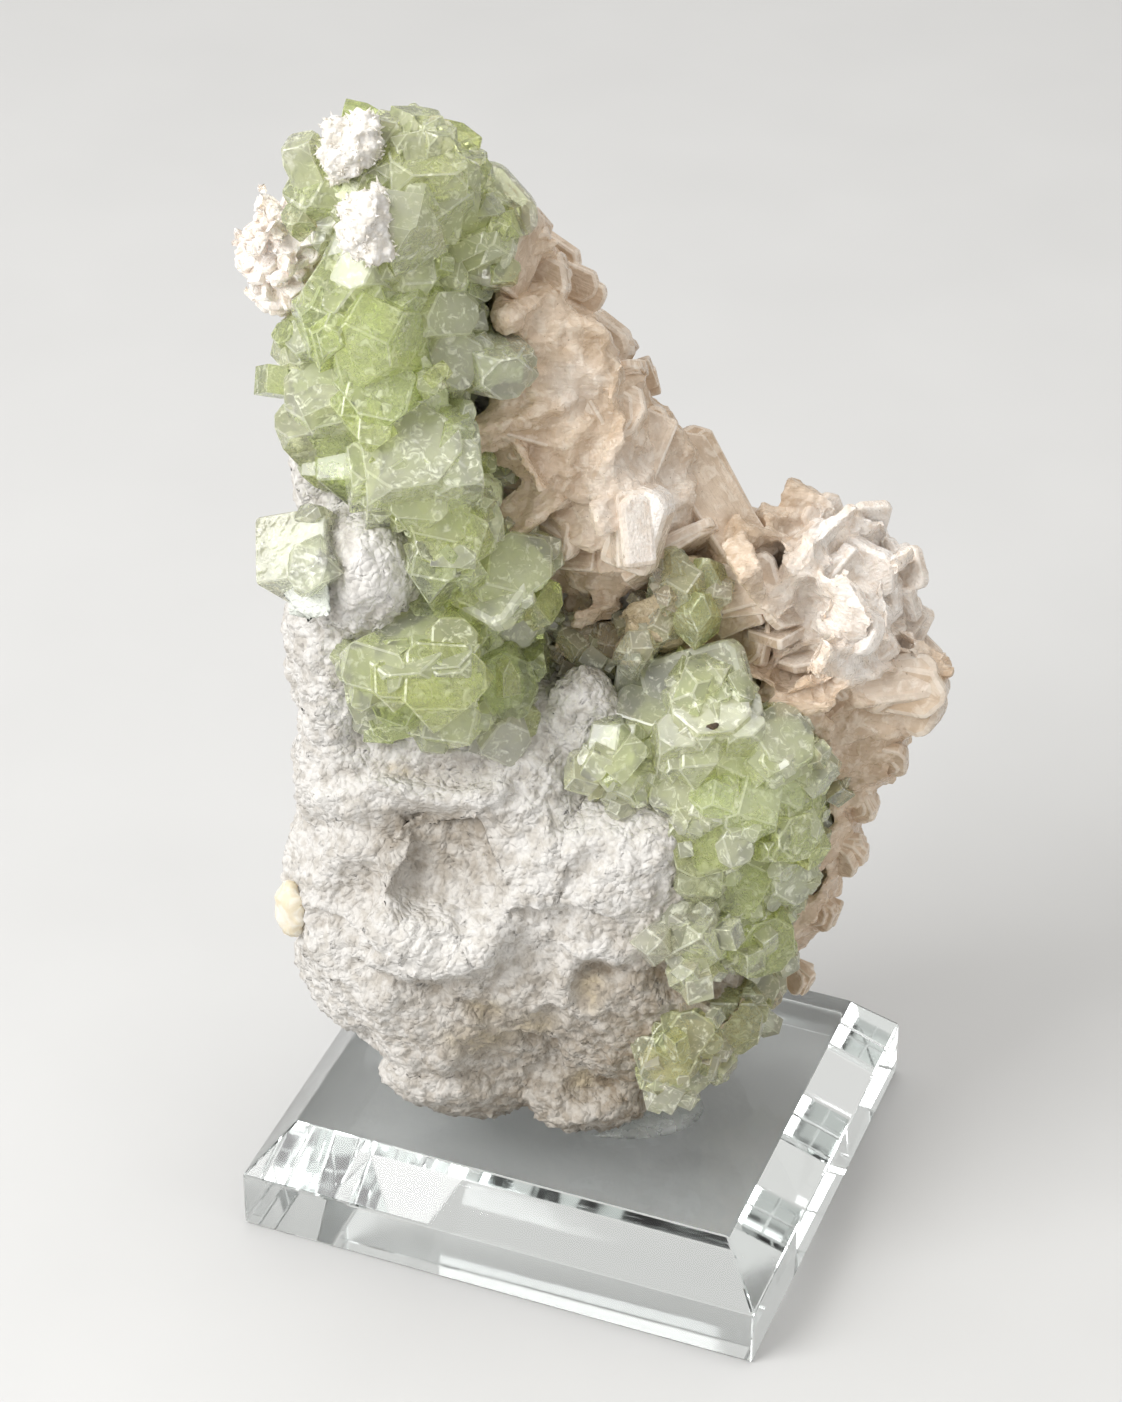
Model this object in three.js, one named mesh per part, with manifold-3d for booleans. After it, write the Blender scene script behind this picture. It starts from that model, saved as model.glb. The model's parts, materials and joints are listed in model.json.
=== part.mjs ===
// Apophyllite cluster: green apophyllite and peach stilbite crystals on a crusty white zeolite
// matrix, standing on a bevelled block of clear acrylic. Millimetres, +Z up, origin at the middle
// of the block's underside, +X along the block's long side.
import * as THREE from "three";
import { ConvexGeometry } from "three/addons/geometries/ConvexGeometry.js";
import { ImprovedNoise } from "three/addons/math/ImprovedNoise.js";
import { mergeVertices } from "three/addons/utils/BufferGeometryUtils.js";
import Module from "manifold-3d";

const wasm = await Module();
wasm.setup();
const { degToRad } = THREE.MathUtils;

// Acrylic block: a 3 1/2 by 3 inch base, 3/4 inch thick, its top edge bevelled all round.
const BLOCK_LENGTH = 88.9;
const BLOCK_DEPTH = 76.2;
const BLOCK_HEIGHT = 19.05;
const BLOCK_SIDE = 10.5; // upright part of the side, below the bevel
const BEVEL_INSET = 7;

// The specimen's own frame has X across, Y into the picture and Z up, turned on the block by this.
const SPECIMEN_TURN = degToRad(21.4);
const GAP = 0.3; // between neighbouring solids

// Places on the specimen are read in a view: across and rise are millimetres to the right and up
// on a plane that faces the eye through the middle of the specimen.
function view(eye, tilt, turn, distance) {
  const back = turn ? -1 : 1;
  return {
    eye: new THREE.Vector3(...eye),
    sight: new THREE.Vector3(0, back * Math.cos(tilt), -Math.sin(tilt)),
    right: new THREE.Vector3(back, 0, 0),
    up: new THREE.Vector3(0, back * Math.sin(tilt), Math.cos(tilt)),
    distance,
  };
}
const FRONT = view([-2.9, -507.7, 456.8], degToRad(35.65), false, 625); // from above
const BACK = view([-2.9, 507.7, 110], 0, true, 507.7); // level, from behind

const PYRAMID_SLOPE = degToRad(60.5); // apophyllite's pyramid face from its base face
const BLADE_POINT = degToRad(38); // how steeply a stilbite blade's end comes to its point

// Lumps of the matrix: middle, half sizes, lean to the left in degrees, how rough, and
// subdivision of the sphere.
const LUMPS = {
  body: { at: [-15, 0, 62], half: [31, 27, 42], rough: 2.6, detail: 4 },
  left_shoulder: { at: [-33, -2, 82], half: [12, 14, 22], rough: 1.6, detail: 1 },
  left_hip: { at: [-33, -5, 51], half: [13, 15, 18], rough: 1.6, detail: 2 },
  bulge: { at: [8, -10, 58], half: [20, 20, 34], rough: 2.2, detail: 3 },
  foot: { at: [2, -14, 29], half: [12, 9, 10], rough: 1.0, detail: 2 },
  left_foot: { at: [-18, -11, 29], half: [13, 10, 12], rough: 1.2, detail: 1 },
  low_column: { at: [-27, 3, 112], half: [10, 9, 38], detail: 1 },
  high_column: { at: [-27, 3, 155], half: [8, 7, 25], detail: 1 },
  high_patch: { at: [-32.5, -9, 124], half: [11, 10, 12], rough: 1.2, detail: 2 },
  saddle: { at: [0.5, -10, 97], half: [6, 7, 9], rough: 0.8, detail: 1 },
  low_patch: { at: [-36, -5, 106], half: [9, 10, 19], rough: 1.2, detail: 2 },
  left_strip: { at: [-38, 0, 140], half: [6, 7, 17], rough: 1.0, detail: 1 },
  web: { at: [-1, 5, 128], half: [8, 7, 38], lean: 30, detail: 1 },
  arm: { at: [32, 4, 90], half: [13, 8, 20], detail: 1 },
  lobe: { at: [21, 0, 70], half: [12, 11, 27], detail: 1 },
  low_right: { at: [18, 1, 41], half: [13, 13, 18], rough: 1.0, detail: 1 },
  back: { at: [-5, 14, 75], half: [30, 17, 46], rough: 2.4, detail: 2 },
};
const HOLLOW = { at: [-21, -34, 78], half: [15, 13, 20], rough: 1.6, detail: 2 };

// Crusts that the crystals of a group grow from, each a little prouder than the matrix under it.
const CRUSTS = {
  column: [
    { at: [-26, 0, 158], half: [13.5, 12.5, 29] },
    { at: [-20, -3, 122], half: [12, 12.5, 30] },
  ],
  lobe: [{ at: [24, -4, 75], half: [16.5, 16, 31] }],
  foot: [{ at: [21, -5, 40], half: [11, 12, 14] }],
  flank: [
    { at: [1, 5, 134], half: [14.5, 11.5, 44], lean: 30 },
    { at: [38, 4, 94], half: [17, 13.5, 25] },
    { at: [34, 4, 64], half: [11.5, 12.5, 26], lean: -12 },
  ],
  knob: [{ at: [-42, 2, 169], half: [8, 8, 9] }],
};

// Apophyllite: place of the head, how far it stands out of the crust, width, length, lean to the
// right and tilt upwards from the line of sight, turn about its own axis, how much of the base
// face the pyramid leaves (0 a point, 1 a plain block), and depth as a share of width. Stilbite:
// the same for the middle blade of a sheaf, then the roll of the fan, the number of blades and
// how far the fan opens.
const crystalFields = "across rise out width length lean tilt turn top flat".split(" ");
const sheafFields = "across rise out width length lean tilt roll blades spread".split(" ");
function rows(names, seenFrom, table) {
  return table.map((row) => {
    const one = { seenFrom, flat: 1 };
    row.forEach((value, i) => (one[names[i]] = value));
    return one;
  });
}
const crystals = (seenFrom, table) => rows(crystalFields, seenFrom, table);
const sheaves = (seenFrom, table) => rows(sheafFields, seenFrom, table);

const COLUMN_CRYSTALS = crystals(FRONT, [
  [-41.0, 87.5, 4, 4.5, 9, -35, 50, 10, 0.9],
  [-39.5, 81.5, 5, 9, 14, -35, 20, 25, 0.8],
  [-34.5, 89.5, 5, 6, 10, -15, 55, 40, 0.6],
  [-30.5, 90.5, 5, 6.5, 10, 5, 50, 15, 0.7],
  [-23.0, 90.0, 5, 8.5, 12, 15, 60, 20, 0.75],
  [-18.5, 85.0, 5, 13, 16, 25, 45, 5, 0.85, 0.6],
  [-17.0, 80.5, 6, 9, 18, 35, 35, 15, 0.7, 0.6],
  [-8.0, 77.0, 8, 13, 26, 50, 22, 85, 0.72, 0.5],
  [-6.5, 68.5, 6, 9.5, 18, 55, 5, 20, 0.75, 0.5],
  [-29.5, 79.0, 6, 11, 14, -5, 25, 35, 0.6],
  [-33.0, 67.0, 5, 9, 12, -20, 10, 20, 0.7],
  [-28.0, 60.0, 6, 13.5, 16, 0, 10, 20, 0.4],
  [-8.0, 50.0, 7, 8.5, 18, 35, -30, 12, 0.85, 0.8],
  [-41.0, 58.0, 4, 8, 12, -45, 10, 15, 0.8],
  [-38.0, 49.0, 5, 11, 14, -25, 15, 12, 0.9],
  [-24.5, 50.0, 5, 12.5, 14, 5, 0, 35, 0.7],
  [-34.5, 38.0, 5, 9.5, 12, -15, 5, 45, 0.8],
  [-22.5, 41.5, 6, 15, 17, 5, 20, 8, 0.85],
  [-22.5, 33.0, 6, 14, 16, 10, -5, 45, 0.8],
  [-17.0, 26.5, 6, 11, 14, 5, -10, 25, 0.65],
  [-7.0, 21.5, 6, 12.5, 15, 20, 15, 35, 0.75],
  [-5.5, 13.0, 7, 13.5, 16, 25, -5, 12, 0.55],
  [-23.5, 10.0, 7, 13, 15, -5, 30, 5, 0.9],
  [-29.5, 5.5, 5, 9.5, 13, -15, -5, 30, 0.75],
  [-18.0, 3.5, 6, 12, 14, 10, -5, 50, 0.8],
  [-9.0, 1.5, 5, 11, 14, 25, -15, 20, 0.75],
  [-26.5, -1.5, 5, 11, 13, -5, -30, 15, 0.8],
  [-15.5, -4.0, 5, 9.5, 12, 5, -25, 35, 0.6],
]);

const COLUMN_BACK_CRYSTALS = crystals(BACK, [
  [22, 73, 3, 12, 12, -10, 35, 20, 0.7],
  [31, 60, 3, 13, 12, 25, 10, 40, 0.75],
  [18, 53, 3, 14, 12, -20, 5, 10, 0.6],
  [27, 42, 4, 15, 13, 10, 0, 30, 0.8],
  [18, 33, 3, 13, 12, -20, 0, 15, 0.7],
  [27, 24, 4, 14, 13, 15, -10, 20, 0.6],
]);

const LOBE_CRYSTALS = crystals(FRONT, [
  [12.8, 8.5, 6, 5, 15, 0, 60, 20, 0.6],
  [28.0, 4.5, 7, 8, 20, 50, 25, 15, 0.7],
  [23.0, 0.5, 6, 13, 16, 5, 35, 5, 0.9],
  [13.0, -0.5, 6, 9, 14, -10, 35, 25, 0.7],
  [7.0, -7.5, 6, 10, 14, -20, 10, 40, 0.7],
  [35.5, -5.5, 6, 10.5, 14, 30, 25, 25, 0.8],
  [40.0, -11.0, 6, 7.5, 12, 50, 5, 35, 0.7],
  [31.0, -15.5, 6, 12.5, 15, 20, 5, 30, 0.55],
  [38.5, -16.5, 5, 9.5, 13, 45, 0, 10, 0.75],
  [20.5, -14.5, 6, 12, 14, -5, 0, 40, 0.75],
  [10.5, -13.0, 6, 8, 12, -15, -5, 20, 0.35],
  [23.5, -22.0, 6, 11, 14, 5, -10, 15, 0.8],
  [37.5, -22.0, 5, 9.5, 13, 40, -10, 10, 0.8],
  [36.5, -28.5, 5, 9, 13, 40, -20, 25, 0.7],
  [28.5, -29.5, 5, 10, 13, 12, -15, 20, 0.7],
  [27.5, -36.0, 5, 11, 14, 15, -15, 40, 0.8],
  [32.5, -38.5, 5, 10, 13, 30, -20, 15, 0.85],
  [21.5, -36.5, 8, 10, 14, 10, 5, 45, 0.05],
]);

const FOOT_CRYSTALS = crystals(FRONT, [
  [25.5, -51.0, 6, 12, 14, 15, -25, 40, 0.75],
  [30.0, -46.0, 5, 9, 12, 25, -20, 15, 0.8],
  [16.5, -56.5, 6, 9.5, 12, 0, -20, 25, 0.7],
  [20.0, -52.0, 5, 8, 12, 5, -15, 10, 0.7],
  [22.5, -57.0, 5, 7, 11, 5, -30, 35, 0.6],
]);

const CREVICE_CRYSTALS = crystals(FRONT, [
  [22.8, 21.5, 7, 10.5, 16, 10, 25, 40, 0.15],
  [18.5, 20.0, 5, 9, 13, -5, 15, 15, 0.6],
  [8.0, 9.5, 6, 10, 14, 10, 10, 25, 0.7],
  [2.5, 9.0, 6, 9, 14, 5, 5, 40, 0.6],
  [15.0, 13.0, 5, 10, 14, 10, 15, 20, 0.6],
]);

const LEFT_BLOCK = crystals(FRONT, [
  [-42.0, 24.0, 8, 12.5, 22, -42, 18, 12, 0.95, 0.8],
  [-40.0, 17.0, 4, 8, 14, -40, -5, 30, 0.8],
]);

// Stilbite sheaves: place of the head, stand-off, width and length of a blade, lean and tilt of
// the middle blade, roll of the fan about it, number of blades, and how far the fan opens.
const FLANK_SHEAVES = sheaves(FRONT, [
  [-5.0, 77.0, 4, 10, 18, 50, 30, 20, 2, 16],
  [1.5, 67.0, 3, 12, 18, 60, 10, -10, 2, 18],
  [1.5, 59.5, 4, 14, 18, 30, 15, 30, 3, 34],
  [6.5, 51.5, 5, 14, 18, 35, 0, -30, 3, 40],
  [15.5, 49.5, 3, 7, 16, 66, 15, 20, 2, 14],
  [13.0, 41.5, 4, 12, 16, 45, 0, 70, 2, 22],
  [2.5, 41.0, 4, 14, 15, 15, -10, 20, 3, 42],
  [20.0, 40.0, 3, 12, 18, 52, 10, 80, 2, 24],
  [23.5, 31.5, 3, 14, 18, 56, -10, 75, 2, 24],
  [12.5, 30.0, 7, 14, 17, 20, 5, 15, 3, 40],
  [4.5, 28.5, 4, 12, 14, 15, -10, -20, 2, 26],
  [29.5, 26.5, 6, 10, 18, 60, 15, 5, 2, 16],
  [37.5, 27.0, 6, 11, 16, -15, 60, 20, 2, 24],
  [45.5, 27.5, 7, 12, 18, 12, 50, 10, 3, 40],
  [53.0, 26.0, 8, 11, 18, 50, 35, 0, 2, 26],
  [57.5, 19.5, 7, 11, 18, 65, 10, 20, 2, 24],
  [46.0, 18.5, 8, 14, 17, 15, 20, 40, 4, 58],
  [36.0, 16.5, 5, 13, 15, -10, 20, 70, 2, 28],
  [49.5, 10.5, 6, 13, 16, 25, 0, -30, 3, 42],
  [39.5, 6.0, 4, 13, 13, 5, 5, 20, 2, 30],
  [53.5, 2.5, 6, 14, 18, 45, 0, 15, 2, 20],
  [62.0, 2.0, 7, 13, 20, 68, -5, 25, 3, 28],
  [54.0, -8.0, 6, 14, 16, 45, -20, 0, 2, 20],
  [48.5, -15.0, 4, 12, 13, 35, -20, 20, 2, 24],
  [48.0, -23.0, 3, 11, 13, 50, -10, 50, 2, 24],
  [42.5, -32.5, 2, 12, 12, 50, -15, 10, 2, 24],
  [37.0, -43.0, 2, 11, 12, 45, -20, 40, 2, 24],
]);

const FLANK_BACK_SHEAVES = sheaves(BACK, [
  [2, 48, 3, 14, 14, 0, 20, 10, 2, 24],
  [-7, 31, 3, 14, 14, 15, 0, 60, 2, 24],
  [-18, 12, 3, 14, 14, -10, 0, -30, 2, 24],
  [-37, 2, 4, 15, 14, -10, 20, 30, 2, 24],
  [-46, -12, 4, 15, 14, -40, 5, 0, 2, 24],
  [-36, -22, 4, 15, 14, -5, -10, 50, 2, 24],
]);

const KNOB_SHEAVES = sheaves(FRONT, [
  [-47.0, 76.0, 4, 9, 11, -45, 30, 10, 3, 44],
  [-48.0, 69.0, 5, 9, 11, -60, -10, 40, 3, 44],
  [-44.0, 71.0, 5, 9, 11, -20, 0, -20, 3, 44],
]);

// Small rough pieces that sit on their neighbours: tufts of white zeolite on the crystals, and a
// cream bud on the matrix.
const TUFTS = {
  crest_tuft: { across: -31.5, rise: 84, out: 6.5, half: [4.5, 4, 7], rough: 1.0, detail: 1 },
  column_tuft: { across: -29.8, rise: 73.5, out: 7.5, half: [4, 3.5, 6], rough: 0.9, detail: 1 },
  cream_bud: { across: -40.5, rise: -32, out: -0.5, half: [3.6, 3.6, 5.5], rough: 0.5, detail: 1 },
};

// Clear gel that holds the feet to the block.
const GEL = { at: [8, -13, 19.5], half: [13, 8, 3.2], detail: 2 };

const noise = new ImprovedNoise();

// A manifold-3d solid of a closed three.js geometry.
function solid(geometry) {
  const bare = geometry.index ? geometry.toNonIndexed() : geometry.clone();
  for (const name of Object.keys(bare.attributes)) {
    if (name !== "position") bare.deleteAttribute(name);
  }
  const merged = mergeVertices(bare, 1e-4);
  return new wasm.Manifold(
    new wasm.Mesh({
      numProp: 3,
      vertProperties: new Float32Array(merged.attributes.position.array),
      triVerts: new Uint32Array(merged.index.array),
    }),
  );
}

function geometryOf(made) {
  const mesh = made.getMesh();
  const geometry = new THREE.BufferGeometry();
  geometry.setAttribute("position", new THREE.BufferAttribute(new Float32Array(mesh.vertProperties), 3));
  geometry.setIndex(new THREE.BufferAttribute(new Uint32Array(mesh.triVerts), 1));
  return geometry;
}

const tipped = (lean = 0) => new THREE.Matrix4().makeRotationY(-degToRad(lean));

// A sphere pushed out to half sizes and roughened by noise that runs on over its neighbours.
function lump({ at, half, lean, rough = 0, detail = 1 }, grow = 0) {
  const geometry = new THREE.IcosahedronGeometry(1, detail);
  const position = geometry.attributes.position;
  const middle = new THREE.Vector3(...at);
  const size = new THREE.Vector3(...half);
  for (let i = 0; i < position.count; i++) {
    const point = new THREE.Vector3().fromBufferAttribute(position, i).normalize();
    const outward = point.clone().applyMatrix4(tipped(lean));
    point.multiply(size).applyMatrix4(tipped(lean)).add(middle);
    const swell = noise.noise(point.x / 13, point.y / 13, point.z / 13);
    const knob = noise.noise(point.x / 5, point.y / 5 + 40, point.z / 5);
    point.addScaledVector(outward, grow + rough * (1.5 * swell + 0.7 * knob));
    position.setXYZ(i, point.x, point.y, point.z);
  }
  return solid(geometry);
}

const joined = (solids) => wasm.Manifold.union(solids);

function matrix(grow = 0) {
  const whole = joined(Object.values(LUMPS).map((one) => lump(one, grow)));
  return whole.subtract(lump(HOLLOW, -grow)).trimByPlane([0, 0, 1], BLOCK_HEIGHT + GAP - grow);
}

// Where the sight line through a place in the view meets the nearest of the lumps, or passes
// closest to one.
const ALL_LUMPS = [...Object.values(LUMPS), ...Object.values(CRUSTS).flat()];
function seat({ seenFrom, across, rise, out }) {
  const { eye, sight, right, up, distance } = seenFrom;
  const line = sight.clone().multiplyScalar(distance);
  line.addScaledVector(right, across).addScaledVector(up, rise).normalize();
  let best = { miss: Infinity, distance: Infinity };
  for (const { at, half, lean } of ALL_LUMPS) {
    const size = new THREE.Vector3(...half);
    const upright = tipped(lean).invert();
    const from = eye.clone().sub(new THREE.Vector3(...at)).applyMatrix4(upright).divide(size);
    const along = line.clone().applyMatrix4(upright).divide(size);
    const nearest = -from.dot(along) / along.lengthSq();
    const miss = from.clone().addScaledVector(along, nearest).length() - 1;
    const reach = miss < 0 ? Math.sqrt((1 - (1 + miss) ** 2) / along.lengthSq()) : 0;
    const hit = { miss: Math.max(miss, 0), distance: nearest - reach };
    if (hit.miss < best.miss || (hit.miss === best.miss && hit.distance < best.distance)) best = hit;
  }
  return eye.clone().addScaledVector(line, best.distance).addScaledVector(sight, -out);
}

// The direction that leans right and tilts up from pointing at the eye.
function growth({ seenFrom, lean, tilt }) {
  const a = degToRad(lean);
  const b = degToRad(tilt);
  return seenFrom.sight
    .clone()
    .multiplyScalar(-Math.cos(a) * Math.cos(b))
    .addScaledVector(seenFrom.right, Math.sin(a) * Math.cos(b))
    .addScaledVector(seenFrom.up, Math.sin(b));
}

// The placing of a crystal whose head is at its local origin and whose axis is local Z.
function placing(one, turn) {
  const axis = growth(one);
  const side = one.seenFrom.up.clone().cross(axis).normalize();
  return new THREE.Matrix4()
    .makeBasis(side, axis.clone().cross(side), axis)
    .setPosition(seat(one))
    .multiply(new THREE.Matrix4().makeRotationZ(degToRad(turn)));
}

// A square prism whose corners are cut by the four pyramid faces at its head.
function apophyllite(crystal, grow = 0) {
  const wide = crystal.width + 2 * grow;
  const deep = crystal.width * crystal.flat + 2 * grow;
  const box = new THREE.BoxGeometry(wide, deep, crystal.length + grow);
  box.translate(0, 0, grow - (crystal.length + grow) / 2);
  let made = solid(box);
  const reach = ((wide + deep) / 2) * crystal.top; // where the cut meets the base face, on x + y
  for (const [x, y] of [[1, 1], [1, -1], [-1, 1], [-1, -1]]) {
    const face = new THREE.Vector3(x, y, Math.SQRT2 / Math.tan(PYRAMID_SLOPE)).normalize();
    const offset = face.dot(new THREE.Vector3((x * reach) / 2, (y * reach) / 2, grow));
    made = made.trimByPlane([-face.x, -face.y, -face.z], -offset);
  }
  return made.transform(placing(crystal, crystal.turn).elements);
}

// A thin tablet that comes to a blunt point, its head at the origin.
function blade(width, length, thickness, grow) {
  const box = new THREE.BoxGeometry(width + 2 * grow, thickness + 2 * grow, length + grow);
  box.translate(0, 0, grow - (length + grow) / 2);
  let made = solid(box);
  for (const side of [1, -1]) {
    const face = [side * Math.sin(BLADE_POINT), 0, Math.cos(BLADE_POINT)];
    const offset = grow + face[0] * side * width * 0.12;
    made = made.trimByPlane(face.map((v) => -v), -offset);
  }
  return made;
}

// Blades that open like the pages of a book about a spine near their feet.
function sheaf(one, grow = 0) {
  const place = placing(one, one.roll);
  const thickness = (1.75 * one.length * Math.sin(degToRad(one.spread) / 2)) / one.blades;
  const pages = [];
  for (let i = 0; i < one.blades; i++) {
    const share = one.blades > 1 ? i / (one.blades - 1) - 0.5 : 0;
    const shorter = 1 - 0.12 * ((i * 7) % 3);
    const page = new THREE.Matrix4()
      .makeTranslation(0, 0, -one.length)
      .multiply(new THREE.Matrix4().makeRotationX(degToRad(one.spread * share)))
      .multiply(new THREE.Matrix4().makeRotationY(degToRad(6 * (((i * 5) % 3) - 1))))
      .multiply(new THREE.Matrix4().makeTranslation(0, 0, one.length * shorter));
    const cut = blade(one.width * (1 - 0.1 * ((i * 3) % 2)), one.length * shorter, thickness, grow);
    pages.push(cut.transform(place.clone().multiply(page).elements));
  }
  return joined(pages);
}

// Everything of one mineral that has grown together, with the crusts it grows from.
function growths(shape, places, crustName, grow = 0) {
  const crusts = (CRUSTS[crustName] ?? []).map((one) => lump(one, grow));
  return joined([...places.map((one) => shape(one, grow)), ...crusts]);
}

function tuft(one, grow = 0) {
  const at = seat({ seenFrom: FRONT, ...one }).toArray();
  return lump({ ...one, at }, grow);
}

const gel = () => lump(GEL).trimByPlane([0, 0, 1], BLOCK_HEIGHT + GAP);

function block() {
  const outline = (inset, z) => {
    const x = BLOCK_LENGTH / 2 - inset;
    const y = BLOCK_DEPTH / 2 - inset;
    return [[x, y], [-x, y], [-x, -y], [x, -y]].map((p) => new THREE.Vector3(p[0], p[1], z));
  };
  return new ConvexGeometry([
    ...outline(0, 0),
    ...outline(0, BLOCK_SIDE),
    ...outline(BEVEL_INSET, BLOCK_HEIGHT),
  ]);
}

const MATERIALS = {
  acrylic: new THREE.MeshStandardMaterial({ color: 0xeef2f2, roughness: 0.04, transparent: true, opacity: 0.3 }),
  zeolite: new THREE.MeshStandardMaterial({ color: 0xe9e4df, roughness: 0.9 }),
  apophyllite: new THREE.MeshStandardMaterial({ color: 0xb9d59a, roughness: 0.12 }),
  stilbite: new THREE.MeshStandardMaterial({ color: 0xe6c9b4, roughness: 0.35 }),
  cream: new THREE.MeshStandardMaterial({ color: 0xe4d8bd, roughness: 0.6 }),
  gel: new THREE.MeshStandardMaterial({ color: 0xe8eeea, roughness: 0.1, transparent: true, opacity: 0.5 }),
};

const cluster = new THREE.Group();
const specimen = new THREE.Group();
specimen.rotation.z = SPECIMEN_TURN;
cluster.add(specimen);

function add(name, geometry, material, group = specimen) {
  const mesh = new THREE.Mesh(geometry, MATERIALS[material]);
  mesh.name = name;
  group.add(mesh);
}

// What later pieces are cut clear of: each piece already added, grown by the gap.
const cutters = [matrix(GAP)];

// Adds the largest body of what is left of a solid beside the pieces already there.
function addGrowth(name, material, make) {
  const left = cutters.reduce((rest, cutter) => rest.subtract(cutter), make());
  const bodies = left.decompose().sort((a, b) => b.volume() - a.volume());
  add(name, geometryOf(bodies[0]), material);
  cutters.push(make(GAP));
}

add("acrylic_base", block(), "acrylic", cluster);
add("matrix", geometryOf(matrix()), "zeolite");
const COLUMN = [...COLUMN_CRYSTALS, ...COLUMN_BACK_CRYSTALS];
const FLANK = [...FLANK_SHEAVES, ...FLANK_BACK_SHEAVES];
for (const [name, places, crust] of [
  ["apophyllite_column", COLUMN, "column"],
  ["apophyllite_lobe", LOBE_CRYSTALS, "lobe"],
  ["apophyllite_foot", FOOT_CRYSTALS, "foot"],
  ["apophyllite_crevice", CREVICE_CRYSTALS],
  ["apophyllite_left_block", LEFT_BLOCK],
]) {
  addGrowth(name, "apophyllite", (grow) => growths(apophyllite, places, crust, grow));
}
addGrowth("stilbite_knob", "stilbite", (grow) => growths(sheaf, KNOB_SHEAVES, "knob", grow));
addGrowth("stilbite_flank", "stilbite", (grow) => growths(sheaf, FLANK, "flank", grow));
addGrowth("crest_tuft", "zeolite", (grow) => tuft(TUFTS.crest_tuft, grow));
addGrowth("column_tuft", "zeolite", (grow) => tuft(TUFTS.column_tuft, grow));
addGrowth("cream_bud", "cream", (grow) => tuft(TUFTS.cream_bud, grow));
addGrowth("mounting_gel", "gel", gel);

export default cluster;
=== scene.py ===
# Apophyllite cluster: green apophyllite and peach stilbite on a crusty white zeolite matrix, on a
# bevelled block of clear acrylic. Pieces are modelled in millimetres and scaled to metres at the end.
import json
import math
import random

import bmesh
import bpy
from mathutils import Matrix, Vector, noise
from mathutils.bvhtree import BVHTree

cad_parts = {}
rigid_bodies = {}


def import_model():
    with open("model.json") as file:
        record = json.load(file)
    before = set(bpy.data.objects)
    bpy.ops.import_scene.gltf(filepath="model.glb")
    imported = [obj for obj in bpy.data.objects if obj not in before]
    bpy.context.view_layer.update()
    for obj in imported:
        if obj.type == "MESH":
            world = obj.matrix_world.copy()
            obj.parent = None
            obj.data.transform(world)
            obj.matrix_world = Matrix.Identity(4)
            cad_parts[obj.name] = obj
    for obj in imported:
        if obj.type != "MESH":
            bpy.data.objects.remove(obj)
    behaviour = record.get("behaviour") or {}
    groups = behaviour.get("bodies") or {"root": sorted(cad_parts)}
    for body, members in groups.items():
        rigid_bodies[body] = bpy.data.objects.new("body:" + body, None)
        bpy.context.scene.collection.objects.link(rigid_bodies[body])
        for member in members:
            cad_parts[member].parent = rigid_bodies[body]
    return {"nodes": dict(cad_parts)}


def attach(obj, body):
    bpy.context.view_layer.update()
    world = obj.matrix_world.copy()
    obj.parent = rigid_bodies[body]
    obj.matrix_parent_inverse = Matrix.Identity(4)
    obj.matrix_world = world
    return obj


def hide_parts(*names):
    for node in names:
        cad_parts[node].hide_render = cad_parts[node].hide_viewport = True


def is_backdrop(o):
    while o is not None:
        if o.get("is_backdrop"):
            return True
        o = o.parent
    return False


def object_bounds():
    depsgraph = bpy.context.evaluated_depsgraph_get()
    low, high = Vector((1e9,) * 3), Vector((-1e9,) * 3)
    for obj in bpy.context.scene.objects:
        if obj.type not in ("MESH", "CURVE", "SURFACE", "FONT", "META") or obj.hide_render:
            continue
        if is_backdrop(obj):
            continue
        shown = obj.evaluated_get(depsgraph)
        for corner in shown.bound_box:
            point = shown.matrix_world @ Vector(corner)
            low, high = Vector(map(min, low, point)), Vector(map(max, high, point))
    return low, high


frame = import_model()
cad_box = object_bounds()

MM = 0.001
SEED = 20
radians = math.radians

# The camera, read from the block's corners in the photograph. Pixels are of the 1122 x 1402 frame.
PICTURE = (1122, 1402)
PICTURE_MIDDLE = (561, 701)
FOCAL_PIXELS = 4000
SENSOR_MM = 36
EYE = Vector((182.70, -473.74, 456.81))
EYE_TURN = radians(21.42)
EYE_TILT = radians(35.652)
BACK = Vector((
    math.sin(EYE_TURN) * math.cos(EYE_TILT),
    -math.cos(EYE_TURN) * math.cos(EYE_TILT),
    math.sin(EYE_TILT),
))
RIGHT = Vector((math.cos(EYE_TURN), math.sin(EYE_TURN), 0))
UP = BACK.cross(RIGHT)
SPECIMEN_MIDDLE = Vector((0, 0, 100))

# The voxels from which rounded bodies are made again.
CRUST_VOXEL = 0.68
HEART_VOXEL = 1.0
MASS_VOXEL = 0.9
TUFT_VOXEL = 0.5
BUD_VOXEL = 0.4
GEL_VOXEL = 0.6
NEAREST_TRIES = 12  # steps to the surface from a pixel beside it

# Apophyllite crystals.
PYRAMID_SLOPE = radians(60.5)  # apophyllite's pyramid face from its base face
TOP_TRIM = 0.85  # how much of the base faces in the tables is left
EDGE_WEAR = 0.22  # the most that an edge is worn
EDGE_WEAR_SHARE = 0.03  # of the width
NEIGHBOURS = 3  # smaller crystals beside each crystal of the tables
NEIGHBOUR_SHARE = (0.35, 0.6)  # of the crystal's width
NEIGHBOUR_LENGTH = 0.7  # of the crystal's length
NEIGHBOUR_STEP = (0.6, 2.6)  # how much lower they end
SMALL_LENGTH = 1.6  # of a crystal that fills up, by its width
PADDLE_BLUNT = 0.3
PADDLE_WEAR = 1.1

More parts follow.
